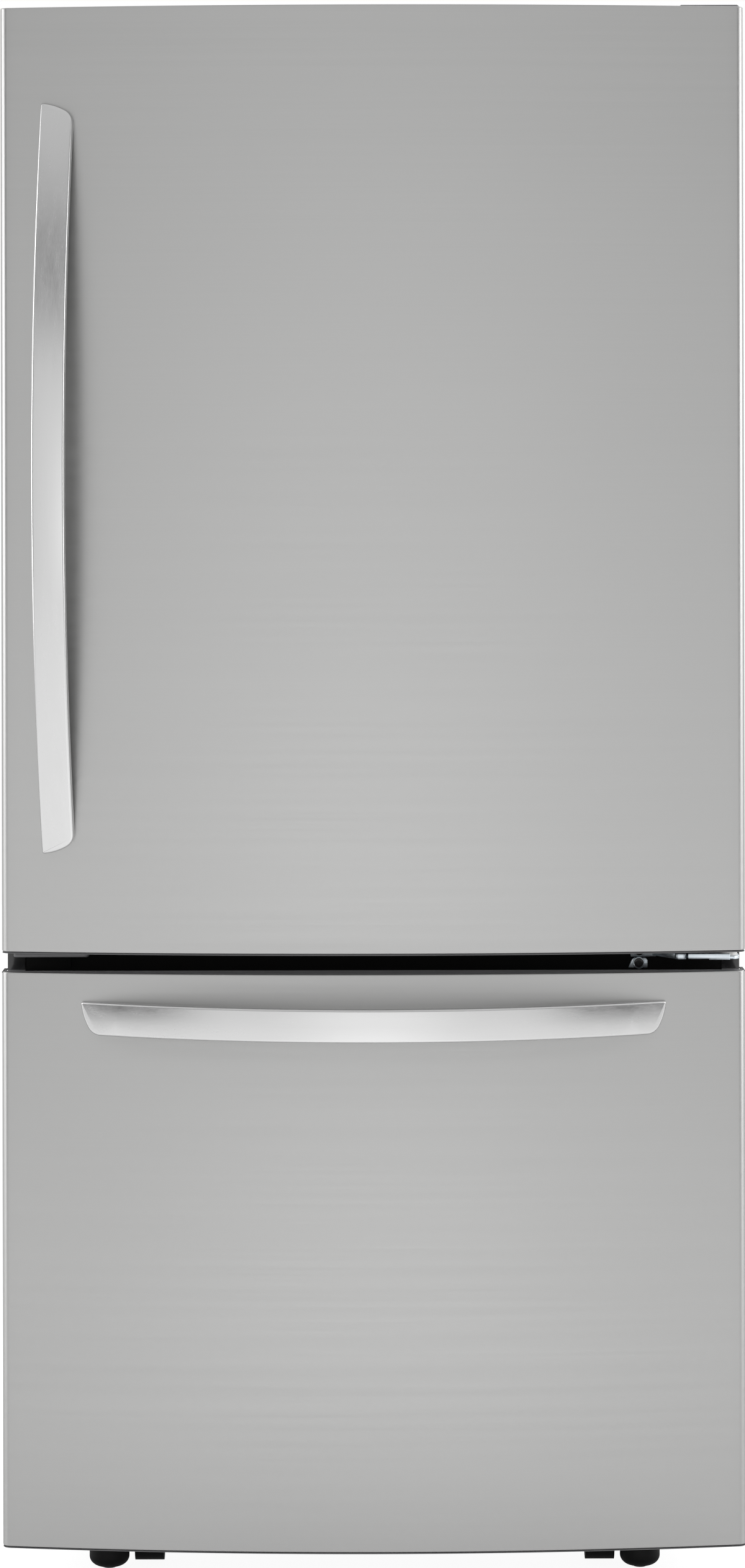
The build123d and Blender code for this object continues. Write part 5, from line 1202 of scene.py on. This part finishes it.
class FRIDGE_OT_screws(bpy.types.Operator):
    """Set the screws of the rear cover and of the evaporator cover"""
    bl_idname = "fridge.screws"
    bl_label = "Screws"

    def execute(self, context):
        flat = turned_part("flat_part", [(5.0, 0.0), (5.0, 0.2), (4.2, 0.42), (2.2, 0.42), (2.0, 0.1)], 24)
        low, high = node_box("rear_cover")
        inset, edge, middle = 12.0, 9.0, 170.0
        places = [(x, high[1], z, BACKWARD, 1.0) for x in (low[0] + inset, -middle, middle, high[0] - inset)
                  for z in (high[2] - edge, low[2] + edge)]
        set_on_points("rear_cover_screws", flat, places, "zinc_steel", "cabinet")
        head = screw_head("head_part", 4.6, 2.4, 2.3)
        low, high = node_box("evaporator_cover")
        inset, edge = 14.0, 16.0
        places = [(x, low[1], z, FORWARD, 1.0) for x in (low[0] + inset, high[0] - inset)
                  for z in (low[2] + edge, (low[2] + high[2]) / 2, high[2] - edge)]
        set_on_points("evaporator_cover_screws", head, places, "zinc_steel", "cabinet")
        remove_piece(flat)
        remove_piece(head)
        return {"FINISHED"}


class FRIDGE_OT_seals(bpy.types.Operator):
    """Make the magnetic seals of the door and the drawer"""
    bl_idname = "fridge.seals"
    bl_label = "Seals"

    def execute(self, context):
        gasket_ring("door_seal", "door_gasket", "door")
        gasket_ring("drawer_seal", "drawer_gasket", "drawer")
        return {"FINISHED"}


class FRIDGE_OT_finishes(bpy.types.Operator):
    """Give every carried-over CAD node the finish of its material slot"""
    bl_idname = "fridge.finishes"
    bl_label = "Finishes"

    def execute(self, context):
        for part in frame["record"]["subparts"]:
            node = frame["nodes"][part["node"]]
            for slot in node.material_slots:
                slot.material = finish_material(part["material_slot"])
        return {"FINISHED"}


class FRIDGE_OT_stage(bpy.types.Operator):
    """Set the floor, the lamps, the room light and the camera"""
    bl_idname = "fridge.stage"
    bl_label = "Stage"

    def execute(self, context):
        stage = context.scene.fridge_stage
        make_floor()
        make_world(stage)
        for name, place, target, size, power in LAMPS:
            add_lamp(name, place, target, size, getattr(stage, power))
        add_camera(stage, context.scene.fridge_fronts)
        context.scene.view_settings.view_transform = "Standard"
        return {"FINISHED"}


def add_camera(stage, fronts):
    """Camera of the photograph, level and far ahead, its picture shifted down to the refrigerator."""
    lens = bpy.data.cameras.new("photo_camera")
    lens.lens = 98.5
    lens.sensor_width = 36.0
    lens.shift_y = -0.207
    lens.clip_end = 100.0
    roll = 0.115
    corner_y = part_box("door_skin")[0].y + fronts.bulge
    camera = bpy.data.objects.new("photo_camera", lens)
    camera.location = (0.0, corner_y - stage.distance, stage.height)
    camera.rotation_euler = (math.pi / 2, math.radians(roll), 0.0)
    bpy.context.scene.collection.objects.link(camera)
    bpy.context.scene.camera = camera


def floor_glow(tree, place, glossy):
    """Glow of the floor: even to the camera, and in gloss dark near the fronts, paler ahead of them. The glow
    seen in gloss is painted light, and its dark part near the fronts is a painted shadow of the refrigerator.
    """
    even = 0.93
    x, y, _ = separate(tree, place.outputs["Object"])
    ahead = times(tree, y, -1.0)
    aside = math_node(tree, "ABSOLUTE", x)
    sides = times(tree, fade(tree, aside, 3.1, 4.5, 0.06, -0.30), fade(tree, ahead, 2.0, 3.5, 0.0, 1.0))
    # Painted shadow: the glow that gloss sees is dimmed close to the fronts.
    near = plus(tree, fade(tree, ahead, 0.25, 1.3, 0.18, 0.46), sides)
    strip = times(tree, fade(tree, ahead, 0.4, 1.2, 0.0, 0.3), fade(tree, ahead, 3.2, 4.4, 1.0, 0.0))
    middle = times(tree, fade(tree, aside, 0.1, 0.8, 1.0, 0.0), strip)
    mirrored = minus(tree, plus(tree, near, middle), even)
    return plus(tree, even, times(tree, glossy, mirrored))


def make_floor():
    """Pale floor that shows white to the camera and keeps a light shadow."""
    half = 7000.0
    corners = [(-half, -half, 0), (half, -half, 0), (half, half, 0), (-half, half, 0)]
    floor = build_mesh("floor", corners, [(0, 1, 2, 3)])
    material = bpy.data.materials.new("pale_floor")
    material.use_nodes = True
    tree = material.node_tree
    tree.nodes.clear()
    place = tree.nodes.new("ShaderNodeTexCoord")
    speckle = new_node(tree, "ShaderNodeTexNoise", Vector=place.outputs["Object"], Scale=40.0)
    ramp = new_node(tree, "ShaderNodeValToRGB", Fac=speckle.outputs["Fac"])
    for stop, grey in zip(ramp.color_ramp.elements, (0.78, 0.84)):
        stop.color = (grey, grey, grey, 1)
    matt = new_node(tree, "ShaderNodeBsdfDiffuse", Color=ramp.outputs[0])
    path = tree.nodes.new("ShaderNodeLightPath")
    glossy = path.outputs["Is Glossy Ray"]
    shadow = new_node(tree, "ShaderNodeBsdfDiffuse", Color=plus(tree, 0.25, times(tree, glossy, 0.35)))
    glow = new_node(tree, "ShaderNodeEmission", Strength=floor_glow(tree, place, glossy))
    seen = tree.nodes.new("ShaderNodeAddShader")
    direct = largest(tree, path.outputs["Is Camera Ray"], glossy)
    mix = tree.nodes.new("ShaderNodeMixShader")
    for socket, value in ((seen.inputs[0], shadow.outputs[0]), (seen.inputs[1], glow.outputs[0]),
                          (mix.inputs[0], largest(tree, direct, path.outputs["Is Transmission Ray"])),
                          (mix.inputs[1], matt.outputs[0]), (mix.inputs[2], seen.outputs[0])):
        tree.links.new(value, socket)
    new_node(tree, "ShaderNodeOutputMaterial", Surface=mix.outputs[0])
    floor.data.materials.append(material)


def mirrored_room(tree):
    """Brightness that gloss sees: a wide screen in front, both sides, above and behind, on a dim wall."""
    wall = 0.36
    x, y, z = separate(tree, tree.nodes.new("ShaderNodeTexCoord").outputs["Generated"])
    side = math_node(tree, "ABSOLUTE", x)
    screen = times(tree, fade(tree, side, 0.48, 0.69, 1.0, 0.0), fade(tree, z, 0.19, 0.29, 1.0, 0.0))
    above = fade(tree, z, 0.35, 0.50, 0.0, 0.66)
    aside = fade(tree, side, 0.84, 0.98, 0.0, 0.8)
    behind = fade(tree, y, -0.35, 0.1, 0.0, 1.0)
    lit = largest(tree, largest(tree, screen, largest(tree, above, aside)), behind)
    centre = times(tree, fade(tree, side, 0.08, 0.35, 1.0, 0.0), fade(tree, z, -0.12, 0.14, 0.55, 0.0))
    centre = times(tree, centre, fade(tree, y, -0.7, -0.3, 1.0, 0.0))
    gloss = plus(tree, plus(tree, times(tree, lit, 1.0 - wall), wall), centre)
    ends = times(tree, fade(tree, side, 0.54, 0.66, 0.0, 0.26), fade(tree, side, 0.76, 0.88, 1.0, 0.0))
    return minus(tree, gloss, times(tree, ends, fade(tree, z, 0.05, 0.2, 1.0, 0.0)))


def make_world(stage):
    """Even room light; the camera and glass see white, gloss sees the mirrored room."""
    world = bpy.data.worlds.new("studio")
    world.use_nodes = True
    tree = world.node_tree
    tree.nodes.clear()
    path = tree.nodes.new("ShaderNodeLightPath")
    plain = largest(tree, path.outputs["Is Camera Ray"], path.outputs["Is Transmission Ray"])
    shine = path.outputs["Is Glossy Ray"]
    rest = minus(tree, 1.0, largest(tree, plain, shine))
    strength = plus(tree, plain, times(tree, shine, mirrored_room(tree)))
    strength = plus(tree, strength, times(tree, rest, stage.sky))
    light = new_node(tree, "ShaderNodeBackground", Color=(1.0, 1.0, 1.0, 1.0), Strength=strength)
    new_node(tree, "ShaderNodeOutputWorld", Surface=light.outputs[0])
    bpy.context.scene.world = world


# Each lamp: its name, place, target, size and the stage's power that it takes.
LAMPS = (
    ("key_lamp", (-0.6, -1.7, 4.8), (0.0, -0.3, 0.8), 3.0, "key"),
    ("fill_left", (-3.2, -0.6, 1.6), (0.0, 0.0, 0.9), 2.0, "fill"),
    ("fill_right", (3.2, -0.6, 1.6), (0.0, 0.0, 0.9), 2.0, "fill"),
    ("back_lamp", (1.8, 3.6, 3.0), (0.0, 0.0, 0.9), 2.5, "fill"),
)


def add_lamp(name, place, target, size, power):
    """Square soft lamp aimed at a point."""
    data = bpy.data.lights.new(name, "AREA")
    data.size = size
    data.energy = power
    lamp = bpy.data.objects.new(name, data)
    lamp.location = place
    lamp.rotation_euler = (Vector(target) - Vector(place)).to_track_quat("-Z", "Y").to_euler()
    lamp.visible_glossy = name != "key_lamp"
    bpy.context.scene.collection.objects.link(lamp)


# ================================================================ add-on
class FRIDGE_PT_sidebar(bpy.types.Panel):
    """Sizes, colours and steps of the refrigerator"""
    bl_label = "Bottom freezer refrigerator"
    bl_idname = "FRIDGE_PT_sidebar"
    bl_space_type = "VIEW_3D"
    bl_region_type = "UI"
    bl_category = "Refrigerator"

    def draw(self, context):
        layout = self.layout
        for group_name, title in GROUPS:
            box = layout.box()
            box.label(text=title)
            group = getattr(context.scene, group_name)
            for key in group.__annotations__:
                box.prop(group, key)
        for step in STEPS:
            layout.operator(step.bl_idname)


GROUPS = (("fridge_fronts", "Fronts"), ("fridge_handles", "Handles"), ("fridge_finish", "Colours"),
          ("fridge_stage", "Stage"))
GROUP_TYPES = (FridgeFronts, FridgeHandles, FridgeFinish, FridgeStage)
STEPS = (FRIDGE_OT_fronts, FRIDGE_OT_end_caps, FRIDGE_OT_handles, FRIDGE_OT_hinges, FRIDGE_OT_feet,
         FRIDGE_OT_screws, FRIDGE_OT_seals, FRIDGE_OT_finishes, FRIDGE_OT_stage)


def register():
    for cls in (*GROUP_TYPES, *STEPS, FRIDGE_PT_sidebar):
        bpy.utils.register_class(cls)
    for (name, _), kind in zip(GROUPS, GROUP_TYPES):
        setattr(bpy.types.Scene, name, bpy.props.PointerProperty(type=kind))


def unregister():
    for name, _ in GROUPS:
        delattr(bpy.types.Scene, name)
    for cls in reversed((*GROUP_TYPES, *STEPS, FRIDGE_PT_sidebar)):
        bpy.utils.unregister_class(cls)


def main():
    """Register the add-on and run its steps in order."""
    register()
    bpy.ops.fridge.fronts()
    bpy.ops.fridge.end_caps()
    bpy.ops.fridge.handles()
    bpy.ops.fridge.hinges()
    bpy.ops.fridge.feet()
    bpy.ops.fridge.screws()
    bpy.ops.fridge.seals()
    bpy.ops.fridge.finishes()
    bpy.ops.fridge.stage()


if __name__ == "__main__":
    main()
